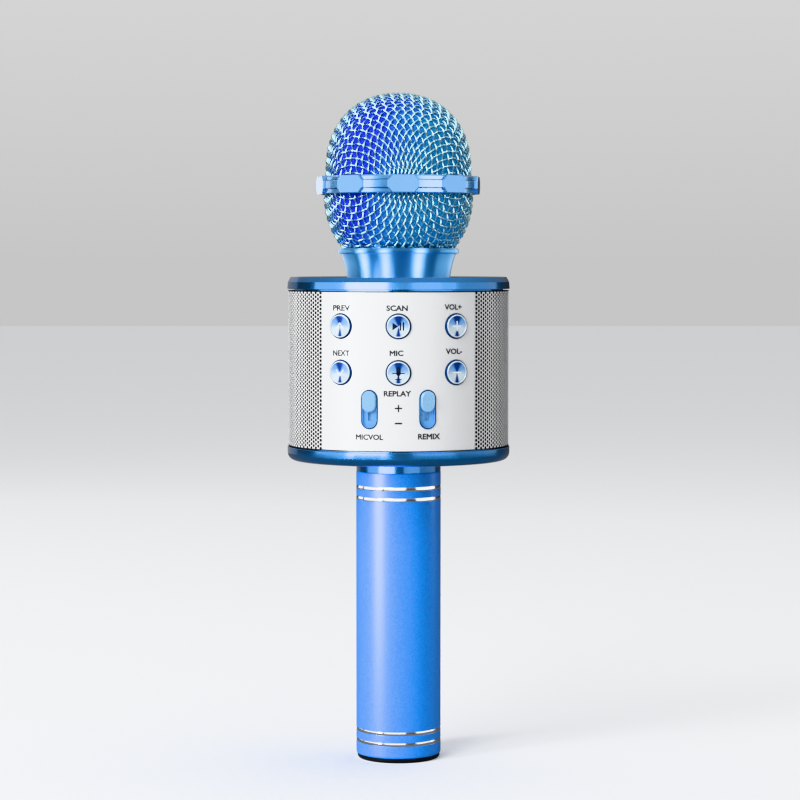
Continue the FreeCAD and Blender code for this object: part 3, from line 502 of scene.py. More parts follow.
def smooth_step(p0, p1, p2, p3, t):
    """Catmull-Rom between p1 and p2."""
    point = []
    for a, b, c, d in zip(p0, p1, p2, p3):
        slope, bend, twist = c - a, 2 * a - 5 * b + 4 * c - d, 3 * b - a - 3 * c + d
        point.append(0.5 * (2 * b + slope * t + bend * t * t + twist * t ** 3))
    return point


def wire_paths(surface, knots, rim):
    """The centre lines of both families of wires, over and under each other, cut at the rim."""
    count = max(i for i, j in knots)
    turn = NET_TURN - math.pi / 4
    cos_t, sin_t = math.cos(turn), math.sin(turn)
    paths = []
    for family in (0, 1):
        for j in range(-count, count + 1):
            row = []
            for i in range(-count, count + 1):
                key = (abs(i), abs(j)) if family == 0 else (abs(j), abs(i))
                if key not in knots:
                    row.append(None)
                    continue
                x, y = knots[key]
                si, sj = (i, j) if family == 0 else (j, i)
                x, y = math.copysign(x, si), math.copysign(y, sj)
                over = 1 if (i + j + family) % 2 == 0 else -1
                row.append((x * cos_t - y * sin_t, x * sin_t + y * cos_t, over))
            paths += row_paths(surface, row, rim)
    return paths


def row_paths(surface, row, rim):
    """The stretches of one wire that lie inside the rim."""
    paths, path = [], []
    for k in range(len(row) - 1):
        a, b = row[k], row[k + 1]
        if a is None or b is None:
            continue
        before = row[k - 1] if k and row[k - 1] else a
        after = row[k + 2] if k + 2 < len(row) and row[k + 2] else b
        for step in range(STEPS_PER_CROSSING):
            t = step / STEPS_PER_CROSSING
            x, y = smooth_step(before[:2], a[:2], b[:2], after[:2], t)
            if math.hypot(x, y) > rim:
                if len(path) > STEPS_PER_CROSSING // 2:
                    paths.append(path)
                path = []
                continue
            lift = WIRE_CRIMP * a[2] * math.cos(math.pi * t)
            path.append(surface.point(x, y) + surface.outward(x, y) * lift)
    if len(path) > STEPS_PER_CROSSING // 2:
        paths.append(path)
    return paths


def woven_mesh(name, outline, rim_z, up):
    """A wire cloth over an outline that starts at its pole and is cut at a height."""
    surface = Surface(outline, up)
    rim = next(s for s, z in zip(surface.s, surface.z) if (rim_z - z) * up >= 0)
    verts, faces = [], []
    for path in wire_paths(surface, woven_net(surface), rim):
        add_wire(verts, faces, path, WIRE_R, WIRE_SIDES)
    return mesh_object(name, verts, faces)


# ---- the perforated sheets ----------------------------------------------------------------
HOLE_HALF_W = 0.54 * MM
HOLE_HALF_H = 0.52 * MM
HOLE_PITCH = 1.31 * MM
COLUMN_PITCH = 1.14 * MM
HOLE_SIDES = 12
SHEET_DEPTH = 0.06 * MM
CLOTH_GAP = 0.25 * MM


def perforated_sheet(name, azimuth0, azimuth1, z0, z1):
    """A curved sheet between two azimuths, with staggered rows of real holes."""
    width = (azimuth1 - azimuth0) * SKIN_R
    columns, rows = round(width / COLUMN_PITCH), round((z1 - z0) / HOLE_PITCH)
    pitch_u, pitch_z = width / columns, (z1 - z0) / rows
    verts, faces, normals = [], [], []

    def vertex(u, z, depth=0.0, normal=None):
        azimuth = azimuth0 + u / SKIN_R
        verts.append(around(SKIN_R - depth, azimuth, z))
        normals.append(normal or around(1, azimuth, 0))
        return len(verts) - 1

    def plain(u0, u1, za, zb):
        faces.append([vertex(u0, za), vertex(u1, za), vertex(u1, zb), vertex(u0, zb)])

    def pierced(u0, u1, za, zb):
        uc, zc = (u0 + u1) / 2, (za + zb) / 2
        half_u, half_z = (u1 - u0) / 2, (zb - za) / 2
        outer, rim, edge, wall = [], [], [], []
        for k in range(HOLE_SIDES):
            a = 2 * math.pi * k / HOLE_SIDES + math.pi / 4
            ca, sa = math.cos(a), math.sin(a)
            stretch = 1 / max(abs(ca), abs(sa))
            inward = around(1, azimuth0 + uc / SKIN_R + math.pi / 2, 0) * -ca - Vector((0, 0, sa))
            outer.append(vertex(uc + half_u * ca * stretch, zc + half_z * sa * stretch))
            rim.append(vertex(uc + HOLE_HALF_W * ca, zc + HOLE_HALF_H * sa))
            edge.append(vertex(uc + HOLE_HALF_W * ca, zc + HOLE_HALF_H * sa, 0.0, inward))
            wall.append(vertex(uc + HOLE_HALF_W * ca, zc + HOLE_HALF_H * sa, SHEET_DEPTH, inward))
        for k in range(HOLE_SIDES):
            n = (k + 1) % HOLE_SIDES
            faces.append([outer[k], outer[n], rim[n], rim[k]])
            faces.append([edge[k], edge[n], wall[n], wall[k]])

    for column in range(columns):
        u0, u1 = column * pitch_u, (column + 1) * pitch_u
        first, count = (z0 + pitch_z / 2, rows - 1) if column % 2 else (z0, rows)
        if column % 2:
            plain(u0, u1, z0, first)
            plain(u0, u1, z1 - pitch_z / 2, z1)
        for row in range(count):
            pierced(u0, u1, first + row * pitch_z, first + (row + 1) * pitch_z)
    sheet = mesh_object(name, verts, faces)
    sheet.data.normals_split_custom_set_from_vertices(normals)
    return sheet


def curved_sheet(name, r, azimuth0, azimuth1, z0, z1, across=48, up=24):
    verts, faces = [], []
    for i in range(up + 1):
        for k in range(across + 1):
            a = azimuth0 + (azimuth1 - azimuth0) * k / across
            verts.append(around(r, a, z0 + (z1 - z0) * i / up))
    for i in range(up):
        for k in range(across):
            first = i * (across + 1) + k
            faces.append((first, first + 1, first + across + 2, first + across + 1))
    return mesh_object(name, verts, faces)


# ---- keys, icons and labels ---------------------------------------------------------------
def facing_out(obj, azimuth, z, r):
    """Stands a piece built along +Z, with its own up along +Y, out of the drum at an azimuth."""
    turn = Matrix.Rotation(azimuth, 4, "Z") @ Matrix.Rotation(math.pi / 2, 4, "X")
    obj.matrix_world = Matrix.Translation(around(r, azimuth, z)) @ turn


def stroke(points, width, closed=False):
    """A line of straight strokes with round joins, as (verts, faces) in the plane."""
    verts, faces = [], []
    following = points[1:] + (points[:1] if closed else [])
    for (x0, y0), (x1, y1) in zip(points, following):
        length = math.hypot(x1 - x0, y1 - y0)
        nx, ny = -(y1 - y0) / length * width / 2, (x1 - x0) / length * width / 2
        first = len(verts)
        verts += [(x0 + nx, y0 + ny), (x0 - nx, y0 - ny), (x1 - nx, y1 - ny), (x1 + nx, y1 + ny)]
        faces.append((first, first + 1, first + 2, first + 3))
    for x, y in points:
        first = len(verts)
        verts += [(x + width / 2 * math.cos(k * math.pi / 6), y + width / 2 * math.sin(k * math.pi / 6))
                  for k in range(12)]
        faces.append(tuple(range(first, first + 12)))
    return verts, faces


def polygon(points):
    return list(points), [tuple(range(len(points)))]


def capsule_points(x, y, half_w, half_h, count=8):
    """A round-ended upright bar."""
    points = []
    for centre_y, start in ((y + half_h - half_w, 0), (y - half_h + half_w, math.pi)):
        for k in range(count + 1):
            a = start + math.pi * k / count
            points.append((x + half_w * math.cos(a), centre_y + half_w * math.sin(a)))
    return points


def flat_mark(name, shapes, thickness=0.04 * MM):
    """Joins plane shapes, in millimetres, into one thin raised mark."""
    mesh = bmesh.new()
    for verts, faces in shapes:
        made = [mesh.verts.new((x * MM, y * MM, 0)) for x, y in verts]
        for face in faces:
            mesh.faces.new([made[k] for k in face])
    for face in mesh.faces:
        if face.normal.z < 0:
            face.normal_flip()
    raised = bmesh.ops.extrude_face_region(mesh, geom=mesh.faces[:])
    moved = [g for g in raised["geom"] if isinstance(g, bmesh.types.BMVert)]
    bmesh.ops.translate(mesh, verts=moved, vec=(0, 0, thickness))
    data = bpy.data.meshes.new(name)
    mesh.to_mesh(data)
    mesh.free()
    return link(bpy.data.objects.new(name, data))


KEY_ICONS = {
    "previous_key": [stroke([(-1.35, -0.85), (0, 0.95), (1.35, -0.85)], 0.42)],
    "next_key": [stroke([(-1.35, 0.85), (0, -0.95), (1.35, 0.85)], 0.42)],
    "scan_key": [
        polygon([(-1.95, -1.25), (-0.05, 0), (-1.95, 1.25)]),
        stroke([(0.62, -1.15), (0.62, 1.15)], 0.5),
        stroke([(1.62, -1.15), (1.62, 1.15)], 0.5),
    ],
    "mic_key": [
        polygon(capsule_points(0, 0.55, 0.72, 1.5)),
        stroke([(-1.9, -0.1), (1.9, -0.1)], 0.34),
        stroke([(0, -0.8), (0, -2.0)], 0.36),
        stroke([(-0.9, -2.1), (0.9, -2.1)], 0.34),
    ],
    "volume_up_key": [stroke([(-1.5, 0), (1.5, 0)], 0.42), stroke([(0, -1.5), (0, 1.5)], 0.42)],
    "volume_down_key": [stroke([(-1.5, 0), (1.5, 0)], 0.42)],
}
DARK_ICONS = ("scan_key", "mic_key")
KEY_PROUD = 0.7 * MM
ICON_SINK = 0.19 * MM


def key_cap(node, azimuth, z):
    """A spun-metal key: a bevelled edge, a ring, a groove and a dished face with its icon."""
    top = SKIN_R + KEY_PROUD
    outline = [
        (4.02, -3.0), (4.05, -0.55), (3.98, -0.36), (3.55, -0.05), (3.45, 0.0), (3.36, -0.03),
        (3.28, -0.16), (3.2, -0.19), (3.1, -0.14), (2.6, -0.165), (1.8, -0.195), (0.9, -0.215),
        (0.0, -0.22),
    ]
    cap = lathe(node + "_cap", [(r * MM, h * MM) for r, h in outline], 96, 50)
    facing_out(cap, azimuth, z, top)
    cap.data.materials.append(FINISH["spun_blue_painted_light"])
    icon = flat_mark(node + "_icon", KEY_ICONS[node])
    icon.data.materials.append(FINISH["dark_ink"] if node in DARK_ICONS else FINISH["white_ink"])
    facing_out(icon, azimuth, z, top - ICON_SINK)
    for piece in (cap, icon):
        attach(piece, node)
    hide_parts(node)


LABEL_HEIGHT = 1.85 * MM
LABEL_LIFT = 0.03 * MM
# word, azimuth in degrees, height and width in millimetres
LABELS = [
    ("PREV", -30.1, 153.2, 6.5), ("SCAN", -0.7, 153.2, 7.0), ("VOL+", 28.7, 153.5, 6.4),
    ("NEXT", -30.3, 138.5, 6.3), ("MIC", -1.0, 138.6, 4.5), ("VOL-", 29.2, 139.1, 6.2),
    ("REPLAY", -0.5, 125.5, 9.0), ("MICVOL", -14.8, 111.3, 9.3), ("REMIX", 15.6, 111.5, 7.5),
]
# sign, height and stroke width in millimetres
SIGNS = [("plus", 120.7, 0.48), ("minus", 115.8, 0.56)]


def wrapped(obj, azimuth, z, r):
    """Bends a flat mark round the drum, at an azimuth and height."""
    for vertex in obj.data.vertices:
        x, y, depth = vertex.co
        vertex.co = around(r + depth, azimuth + x / r, z + y)
    return obj


def panel_label(word, azimuth_deg, z, width):
    """A function word, in the plain built-in letters, fitted to its height and width."""
    text = bpy.data.curves.new("label_text", "FONT")
    text.body = word
    text.align_x = "CENTER"
    text.bevel_depth = 0.036
    text.bevel_resolution = 0
    text.resolution_u = 3
    flat = link(bpy.data.objects.new("label_text", text))
    bpy.context.view_layer.update()
    mesh = bpy.data.meshes.new_from_object(flat.evaluated_get(bpy.context.evaluated_depsgraph_get()))
    bpy.data.objects.remove(flat)
    across, up = [v.co.x for v in mesh.vertices], [v.co.y for v in mesh.vertices]
    low_x, high_x, low_y, high_y = min(across), max(across), min(up), max(up)
    fit_x, fit_y = width * MM / (high_x - low_x), LABEL_HEIGHT / (high_y - low_y)
    for vertex in mesh.vertices:
        vertex.co.x = (vertex.co.x - (low_x + high_x) / 2) * fit_x
        vertex.co.y = (vertex.co.y - (low_y + high_y) / 2) * fit_y
        vertex.co.z *= fit_y
    name = "label_" + word.replace("+", "_up").replace("-", "_down").lower()
    piece = link(bpy.data.objects.new(name, mesh))
    return wrapped(piece, math.radians(azimuth_deg), z * MM, SKIN_R + LABEL_LIFT)


def panel_sign(kind, z, width):
    shapes = [stroke([(-1.0, 0), (1.0, 0)], width)]
    if kind == "plus":
        shapes.append(stroke([(0, -1.0), (0, 1.0)], width))
    sign = flat_mark("sign_" + kind, shapes, 0.03 * MM)
    return wrapped(sign, 0.0, z * MM, SKIN_R + LABEL_LIFT)


def bar_groove_shade(name, side):
    """A dark ring along one edge of the band's bar, seen between the pads: painted shade in the groove
    there.
    """
    z = (GRILLE_BAND_LOW.z + GRILLE_BAND_HIGH.z) / 2 + side * BAR_EDGE
    inner, outer, half = BAR_R - 0.7 * MM, BAR_R - 0.2 * MM, 0.13 * MM
    outline = [(inner, z - half), (outer, z - half), (outer, z + half), (inner, z + half)]
    return lathe(name, outline, ROUND, 30, closed=True)


def cover_gap_shade(name, z0, z1):
    """A thin dark ring between the skin of the drum and a cover: painted shade in the gap between them.
    """
    inner, outer, edge = SKIN_R - 0.3 * MM, SKIN_R + 0.12 * MM, 0.04 * MM
    outline = [(inner, z0), (outer - edge, z0), (outer, z0 + edge)]
    outline += [(outer, z1 - edge), (outer - edge, z1), (inner, z1)]
    return lathe(name, outline, ROUND, 30, closed=True)


def slider_shade_rim(name, azimuth):
    """A thin dark ring round a slide control's tray: painted shade along the gap round it."""
    half_w, half_h, width = TRAY_HALF_W / MM, (TRAY_HIGH.z - TRAY_LOW.z) / 2 / MM, 0.3
    line = capsule_points(0, 0, half_w - width / 2, half_h - width / 2)
    rim = flat_mark(name, [stroke(line, width, closed=True)], 0.03 * MM)
    face_r = -TRAY_LOW.y / math.cos(SLIDER_AZIMUTH - TRAY_HALF_W / SKIN_R)
    return wrapped(rim, azimuth, (TRAY_LOW.z + TRAY_HIGH.z) / 2, face_r)


# ---- building -----------------------------------------------------------------------------
FINISH = {
    "handle": handle_finish(),
    "gloss_blue": gloss_blue("gloss_blue", (0.05, 0.32, 0.8), 0.18, 1.7, 1.0),
    "neck_blue": spun_neck(),
    "bright": plated("bright_cut", (0.95, 0.96, 0.97), 0.1, 0.18, (1, 1, 12)),
    # painted light: the levers' shutters are a paler blue than the tray, brightened to cancel the shade
    # they sit in behind the slots
    "shutter": moulded("shutter_blue_painted_light", (0.3, 0.62, 1.0), 0.6, 0.8),
    "band_blue": gloss_blue("band_blue", (0.16, 0.47, 0.92), 0.26, 1.9, 0.85),
    "wire": plated("grille_wire", (0.58, 0.86, 0.94), 0.2, 0.34),
    "foam": foam_finish(),
    "panel": panel_finish("pearl_silver", (0.86, 0.87, 0.88)),
    "sheet": panel_finish("sheet_white", (0.82, 0.82, 0.82)),
    "cloth": cloth_finish(),
    "spun_blue_painted_light": key_finish(),
    "knob": moulded("knob_blue", (0.32, 0.6, 0.92), 0.22, 0.32, 0.3, Coat_Weight=0.3),
    "tray": moulded("tray_blue", (0.2, 0.5, 0.92), 0.25, 0.35, 0.25),
    "white_ink": ink("white_ink", (0.85, 0.92, 1.0)),
    "dark_ink": ink("dark_ink", (0.004, 0.012, 0.05)),
    # painted shade: the dark blue of the rings that stand for shaded gaps and grooves
    "painted_shade_blue": gloss_blue("painted_shade_blue", (0.01, 0.05, 0.22), 0.2, 1.8),
    "label_ink": ink("label_ink", (0.025, 0.026, 0.03)),
    "black": moulded("black_plastic", (0.018, 0.018, 0.02), 0.32, 0.5),
    "rubber": moulded("soft_rubber", (0.02, 0.02, 0.022), 0.6, 0.8),
    "nickel": plated("nickel", (0.72, 0.73, 0.75), 0.2, 0.36),
    "steel": plated("zinc_steel", (0.58, 0.59, 0.61), 0.26, 0.42),
    "board": moulded("solder_mask", (0.02, 0.16, 0.06), 0.28, 0.42, Coat_Weight=0.4),
    "epoxy": moulded("chip_epoxy", (0.02, 0.02, 0.023), 0.45, 0.6),
    "paper": moulded("cone_paper", (0.03, 0.03, 0.032), 0.8, 0.95),
    "ferrite": moulded("ferrite", (0.05, 0.05, 0.052), 0.5, 0.7, 0.4),
    "sleeve": moulded("cell_sleeve", (0.05, 0.3, 0.5), 0.2, 0.3, Coat_Weight=0.5),
    "lead": moulded("lead_jacket", (0.35, 0.02, 0.02), 0.4, 0.5),
    "pad": moulded("pad_foam", (0.04, 0.04, 0.045), 0.9, 1.0),
    "lens": moulded("light_lens", (0.75, 0.85, 0.95), 0.1, 0.18, Transmission_Weight=0.6),
}

SLOT_FINISH = {
    "blue_metal": "gloss_blue", "blue_gloss": "gloss_blue", "anodised_blue": "handle",
    "plated_metal": "nickel", "plated_key": "spun_blue_painted_light", "screw_steel": "steel", "mesh_wire": "wire",
    "black_plastic": "black", "black_rubber": "rubber", "knob_plastic": "knob", "clear_lens": "lens",
    "silver_panel": "panel", "grille_sheet": "sheet", "dust_cloth": "cloth", "foam": "foam",
    "circuit_board": "board", "component_black": "epoxy", "lead_jacket": "lead", "pad_foam": "pad",
    "cell_sleeve": "sleeve", "ferrite": "ferrite", "cone_paper": "paper",
}
NODE_FINISH = {
    "grille_band": "band_blue", "slider_trays": "tray", "mic_volume_lever": "shutter",
    "remix_lever": "shutter",
}


def smooth_group():
    """A modifier's node group: shades faces smooth and keeps edges of over 18 degrees sharp."""
    group = bpy.data.node_groups.new("smooth_by_angle", "GeometryNodeTree")
    group.interface.new_socket("Geometry", in_out="INPUT", socket_type="NodeSocketGeometry")
    group.interface.new_socket("Geometry", in_out="OUTPUT", socket_type="NodeSocketGeometry")
    start = group.nodes.new("NodeGroupInput")
    merge = group.nodes.new("GeometryNodeMergeByDistance")
    merge.inputs["Distance"].default_value = 1e-6
    plain = group.nodes.new("GeometryNodeRemoveAttribute")
    plain.inputs["Name"].default_value = "custom_normal"
    faces = group.nodes.new("GeometryNodeSetShadeSmooth")
    edges = group.nodes.new("GeometryNodeSetShadeSmooth")
    edges.domain = "EDGE"
    angle = group.nodes.new("GeometryNodeInputMeshEdgeAngle")
    small = group.nodes.new("FunctionNodeCompare")
    small.operation = "LESS_THAN"
    small.inputs[1].default_value = math.radians(18)
    end = group.nodes.new("NodeGroupOutput")
    group.links.new(angle.outputs["Unsigned Angle"], small.inputs[0])
    group.links.new(small.outputs[0], edges.inputs["Shade Smooth"])
    for before, after in ((start, merge), (merge, plain), (plain, faces), (faces, edges), (edges, end)):
        group.links.new(before.outputs[0], after.inputs[0])
    return group


def dress_nodes():
    """Gives each CAD node the finish of its slot, and smooth shading."""
    group = smooth_group()
    for row in frame["record"]["subparts"]:
        node = row["node"]
        name = NODE_FINISH.get(node, SLOT_FINISH[row["material_slot"]])
        node_mesh = nodes[node].data
        node_mesh.materials.clear()
        node_mesh.materials.append(FINISH[name])
        nodes[node].modifiers.new("smooth", "NODES").node_group = group


def finished(piece, finish, body, slot, *replaced):
    """Gives a new piece its finish, its body and the CAD nodes it stands in for; the slot is not used.
    """
    piece.data.materials.append(FINISH[finish])
    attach(piece, body)
    if replaced:
        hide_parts(*replaced)


def turned_tube():
    """The anodised tube, with a groove for each bright band."""
    r, wall, low, high = TUBE_HIGH.x, 1.2 * MM, TUBE_LOW.z, TUBE_HIGH.z
    chamfer, side = 0.2 * MM, 0.06 * MM
    outline = [(r - wall, low), (r - 0.5 * MM, low), (r - 0.15 * MM, low + 0.15 * MM),
               (r, low + 0.5 * MM), (r, low + 0.8 * MM)]
    for z in BAND_HEIGHTS:
        outline += [(r, z - BAND_HALF), (r - BAND_DEPTH, z - BAND_HALF + side)]
        outline += [(r - BAND_DEPTH, z + BAND_HALF - side), (r, z + BAND_HALF)]
    outline += [(r, high - chamfer), (r - chamfer, high), (r - wall, high)]
    return lathe("handle_tube_turned", outline, ROUND, 30, closed=True)


def bright_band(number, z):
    """The bare metal in one groove, cut to a shallow crown that peaks below its middle."""
    r, crown, half = TUBE_HIGH.x - BAND_DEPTH, 0.1 * MM, BAND_HALF - 0.06 * MM
    peak = -0.4
    outline = [(r - 0.2 * MM, z - half)]
    for k in range(11):
        t = k / 5 - 1
        reach = (1 + peak) if t < peak else (1 - peak)
        outline.append((r + crown * (1 - ((t - peak) / reach) ** 2), z + t * half))
    outline.append((r - 0.2 * MM, z + half))
    return lathe("bright_band_%d" % number, outline, ROUND, 40, closed=True)


def turned_neck():
    """The flared neck, with a rounded lip round the mouth that takes the grille."""
    flare = [
        (17.4, 0.0), (17.52, 0.8), (17.7, 2.0), (17.95, 3.3), (18.25, 4.6), (18.62, 5.9),
        (19.0, 7.0), (19.25, 7.6), (19.3, 7.72),
    ]
    lip = [
        (20.0, 7.9), (20.25, 8.05), (20.38, 8.3), (20.4, 8.6), (20.33, 8.95), (20.15, 9.25),
        (19.85, 9.5), (19.6, 9.6), (19.25, 9.6), (19.25, 8.3),
    ]
    cup = [
        (17.5, 8.3), (17.5, 2.9), (10.0, 2.9), (10.0, 1.1), (13.4, 1.1), (13.4, -6.5),
        (15.4, -6.5), (15.4, 0.0),
    ]
    outline = [(r * MM, DRUM_TOP + z * MM) for r, z in flare + lip + cup]
    return lathe("neck_turned", outline, ROUND, 30, closed=True)


def build_turned():
    finished(turned_tube(), "handle", "root", "anodised_blue", "handle_tube")
    finished(turned_neck(), "neck_blue", "root", "blue_metal", "neck_collar")
    for k, z in enumerate(BAND_HEIGHTS):
        finished(bright_band(k + 1, z), "bright", "root", "anodised_blue")


def build_head():
    inset = WIRE_R + WIRE_CRIMP
    dome = dome_outline(inset, DOME_LOW.z - NET_SPARE)
    upper = woven_mesh("upper_mesh_wires", dome, DOME_LOW.z + WIRE_R, 1)
    finished(upper, "wire", "grille_head", "mesh_wire", "upper_grille_mesh")
    bowl = bowl_outline(inset, BOWL_HIGH.z + NET_SPARE)
    lower = woven_mesh("lower_mesh_wires", bowl, BOWL_HIGH.z - WIRE_R, -1)
    clip_below(lower, BOWL_LOW.z + 0.3 * MM)
    finished(lower, "wire", "grille_head", "mesh_wire", "lower_grille_mesh")
    foam = foam_ball()
    finished(foam, "foam", "windscreen", "foam", "foam_windscreen")
    # painted shade: dark rings along the edges of the band's bar
    for side, name in ((1, "upper_bar_groove_shade"), (-1, "lower_bar_groove_shade")):
        finished(bar_groove_shade(name, side), "painted_shade_blue", "grille_head", "blue_metal")


def clip_below(obj, z):
    """Cuts off what lies below a height."""
    mesh = bmesh.new()
    mesh.from_mesh(obj.data)
    geometry = mesh.verts[:] + mesh.edges[:] + mesh.faces[:]
    cut = {"plane_co": (0, 0, z), "plane_no": (0, 0, -1), "clear_outer": True}
    bmesh.ops.bisect_plane(mesh, geom=geometry, **cut)
    mesh.to_mesh(obj.data)
    mesh.free()


def foam_ball():
    """The foam under the mesh, a little uneven, with its mouth at the bottom."""
    clear = 0.9 * MM
    ring_r, ring_top, skirt_z, mouth = 17.8 * MM, 174.7 * MM, 173.9 * MM, 13.5 * MM
    upper = [p for k, p in enumerate(dome_outline(clear, 196 * MM)) if k % 30 == 0]
    lower = [p for k, p in enumerate(bowl_outline(clear, 193 * MM)) if k % 15 == 0 and p[1] > skirt_z]
    profile = upper + [(r, z) for r, z in reversed(lower)]
    profile += [(ring_r, skirt_z), (ring_r, ring_top)]
    profile += [(mouth, ring_top), (mouth, ring_top + 6 * MM)]
    foam = lathe("foam_ball", profile, 160, 80)
    shuffle = random.Random(4)
    for vertex in foam.data.vertices:
        vertex.co.xy *= 1 + shuffle.uniform(-0.003, 0.001)
    return foam


def build_drum():
    low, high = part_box("left_speaker_grille")
    gap = math.radians(0.2)
    azimuth0, azimuth1 = PANEL_HALF + gap, math.pi - REAR_HALF - gap
    for side, word in ((-1, "left"), (1, "right")):
        start, end = (azimuth0, azimuth1) if side > 0 else (-azimuth1, -azimuth0)
        sheet = perforated_sheet(word + "_perforated_sheet", start, end, low.z, high.z)
        finished(sheet, "sheet", "root", "grille_sheet", word + "_speaker_grille")
        cloth_r = SKIN_R - SHEET_DEPTH - CLOTH_GAP
        cloth = curved_sheet(word + "_cloth", cloth_r, start, end, low.z, high.z)
        finished(cloth, "cloth", "root", "dust_cloth", word + "_dust_cloth")
    # painted shade: a thin black ring where the panel meets each cover, in the soft rubber finish
    gap_shade_height = 0.36 * MM
    for name, z0 in (("upper_gap_shade", PANEL_HIGH.z - gap_shade_height), ("lower_gap_shade", PANEL_LOW.z)):
        finished(cover_gap_shade(name, z0, z0 + gap_shade_height), "rubber", "root", "black_rubber")
    for name, azimuth, z in key_places():
        key_cap(name, azimuth, z)
    for label in LABELS:
        finished(panel_label(*label), "label_ink", "root", "silver_panel")
    # painted shade: a dark ring round each slide control's tray
    for side, word in ((-1, "mic_volume"), (1, "remix")):
        finished(slider_shade_rim(word + "_rim", side * SLIDER_AZIMUTH), "painted_shade_blue", "root", "plated_metal")
    for sign in SIGNS:
        finished(panel_sign(*sign), "label_ink", "root", "silver_panel")


def key_places():
    """Each key's azimuth and height, from its CAD node."""
    for name in KEY_ICONS:
        low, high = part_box(name)
        middle = (low + high) / 2
        side = 0 if abs(middle.x) < 2 * MM else math.copysign(1, middle.x)
        yield name, side * KEY_AZIMUTH, middle.z


# ---- the stage ----------------------------------------------------------------------------
AIM = Vector((0, 0, 120 * MM))
COVERS = ["top_cover", "bottom_cover", "handle_collar"]
POLISHED = COVERS + ["neck_turned"]
WIRES = ["upper_mesh_wires", "lower_mesh_wires"]
GRIP = ["handle_tube_turned"]
GRILLE_BAND = ["grille_band"]
BRIGHT_BANDS = ["bright_band_%d" % (k + 1) for k in range(len(BAND_HEIGHTS))]

# name, azimuth in degrees, distance, height, width, height of the lamp, power, kept off
ROOM_LAMPS = [
    ("broad_left", -37, 1.0, 0.75, 0.86, 0.9, 14.5, POLISHED + GRILLE_BAND),
    ("key_left", -52, 0.98, 0.5, 0.2, 1.0, 3.5, POLISHED + GRILLE_BAND),
    ("rim_left", -128, 1.0, 0.42, 0.5, 1.0, 2.0, POLISHED + WIRES + GRIP),
    ("rim_right", 108, 1.0, 0.42, 0.36, 1.0, 1.4, POLISHED),
]

# kind, distance, height, height of the lamp, kept to, and each one's azimuth, width and power
LAMP_RINGS = [
    ("cover", 1.0, 0.25, 0.5, COVERS,
     [(-33, 0.8, 18), (-62, 1.3, 3.0), (37, 0.86, 1.7), (90, 1.2, 1.0), (-152, 0.9, 0.3)]),
    ("cover_top", 1.2, 0.47, 0.5, COVERS, [(0, 2.4, 2.2)]),
    ("neck", 0.6, 0.2, 0.3, ["neck_turned"],
     [(-76, 0.13, 6.6), (-27, 0.13, 6.6), (42, 0.14, 8.6), (122, 0.9, 1.7), (-134, 0.84, 1.3)]),
    ("grille_band", 0.6, 0.2, 0.3, GRILLE_BAND,
     [(-76, 0.36, 0.5), (-46, 0.2, 1.6), (6, 0.4, 0.5), (49, 0.37, 2.6), (86, 0.36, 0.3),
      (-146, 0.4, 1.2)]),
    ("wires", 0.8, 0.5, 0.4, WIRES, [(34, 0.4, 3.0)]),
    ("grip", 0.35, 0.1, 0.2, GRIP, [(-54, 0.14, 2.3)]),
    ("bright_bands", 0.5, 0.16, 0.3, BRIGHT_BANDS,
     [(-78, 0.56, 0.7), (-10, 0.56, 0.7), (78, 0.56, 0.7)]),
]


def area_light(name, azimuth_deg, distance, z, width, height, power):
    """A soft box that looks at the middle of the object."""
    light = bpy.data.lights.new(name, "AREA")
    light.shape = "RECTANGLE"
    light.size, light.size_y = width, height
    light.energy = power
    lamp = link(bpy.data.objects.new(name, light))
    lamp.location = around(distance, math.radians(azimuth_deg), z)
    lamp.visible_camera = False
    lamp.rotation_euler = (AIM - lamp.location).to_track_quat("-Z", "Y").to_euler()
    return lamp


def link_light(lamp, pieces, state):
    """Keeps a lamp to some pieces (INCLUDE) or off them (EXCLUDE)."""
    group = bpy.data.collections.new(lamp.name + "_pieces")
    for piece in pieces:
        group.objects.link(bpy.data.objects[piece])
    for row in group.collection_objects:
        row.light_linking.link_state = state
    lamp.light_linking.receiver_collection = group


def build_floor():
    floor = mesh_object("floor", [(-6, -6, 0), (6, -6, 0), (6, 6, 0), (-6, 6, 0)], [(0, 1, 2, 3)])
    f = Finish("pale_floor", (0.86, 0.87, 0.89), 0.7, Specular_IOR_Level=0.0)
    ray = f.node("LightPath").outputs
    speck = f.mix(f.noise(120, 3.0), (0.84, 0.85, 0.87), (0.87, 0.88, 0.9))
    f.feed("Base Color", f.mix(ray["Is Glossy Ray"], speck, (0.16, 0.165, 0.17)))
    f.feed("Emission Strength", f.math("MULTIPLY", ray["Is Camera Ray"], 0.16))
    f.shader.inputs["Emission Color"].default_value = (0.98, 0.99, 1.0, 1)
    floor.data.materials.append(f.material)


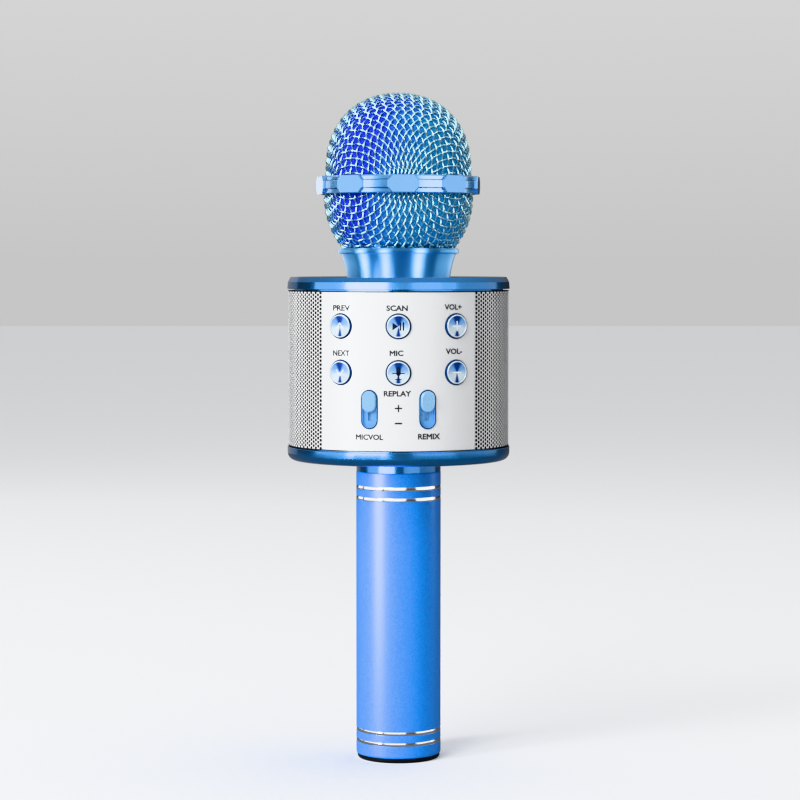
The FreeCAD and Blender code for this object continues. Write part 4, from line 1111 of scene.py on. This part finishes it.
def build_lamps():
    """The lamps that light the room, then the ones kept to one kind of part."""
    for *place, kept_off in ROOM_LAMPS:
        link_light(area_light(*place), kept_off, "EXCLUDE")
    for kind, distance, z, height, pieces, ring in LAMP_RINGS:
        for azimuth, width, power in ring:
            name = "%s_%d" % (kind, azimuth)
            lamp = area_light(name, azimuth, distance, z, width, height, power)
            link_light(lamp, pieces, "INCLUDE")


def build_world():
    """Three grey skies: what the camera sees, what lights the room, and what reflections show."""
    world = bpy.data.worlds.new("studio")
    world.use_nodes = True
    world.cycles.sampling_method = "NONE"
    tree = world.node_tree
    direction = tree.nodes.new("ShaderNodeTexCoord")
    split = tree.nodes.new("ShaderNodeSeparateXYZ")
    tree.links.new(direction.outputs["Generated"], split.inputs[0])
    kind_of_ray = tree.nodes.new("ShaderNodeLightPath")

    def sky(low, high):
        """A grey that runs from the horizon to overhead."""
        ramp = tree.nodes.new("ShaderNodeMapRange")
        tree.links.new(split.outputs["Z"], ramp.inputs["Value"])
        for key, value in (("From Min", 0.0), ("From Max", 1.0), ("To Min", low), ("To Max", high)):
            ramp.inputs[key].default_value = value
        return ramp.outputs[0]

    def choose(flag, when, otherwise):
        pick = tree.nodes.new("ShaderNodeMix")
        tree.links.new(kind_of_ray.outputs[flag], pick.inputs[0])
        tree.links.new(otherwise, pick.inputs[2])
        tree.links.new(when, pick.inputs[3])
        return pick.outputs[0]

    grey = choose("Is Diffuse Ray", sky(0.52, 0.6), sky(0.05, 0.75))
    grey = choose("Is Camera Ray", sky(0.6, 1.6), grey)
    tree.links.new(grey, tree.nodes["Background"].inputs["Color"])
    bpy.context.scene.world = world
    bpy.context.scene.view_settings.view_transform = "Khronos PBR Neutral"


EYE_HEIGHT = 168 * MM
EYE_DISTANCE = 880 * MM
EYE_PITCH = 3.025
EYE_ACROSS = 0.5 * MM
SENSOR_WIDTH = 36
LENS = 117.2


def build_camera():
    camera = link(bpy.data.objects.new("camera", bpy.data.cameras.new("camera")))
    camera.data.sensor_width = SENSOR_WIDTH
    camera.data.lens = LENS
    camera.location = (EYE_ACROSS, -EYE_DISTANCE, EYE_HEIGHT)
    camera.rotation_euler = (math.radians(90 - EYE_PITCH), 0, 0)
    bpy.context.scene.camera = camera


build_camera()
dress_nodes()
build_turned()
build_head()
build_drum()
build_floor()
build_lamps()
build_world()
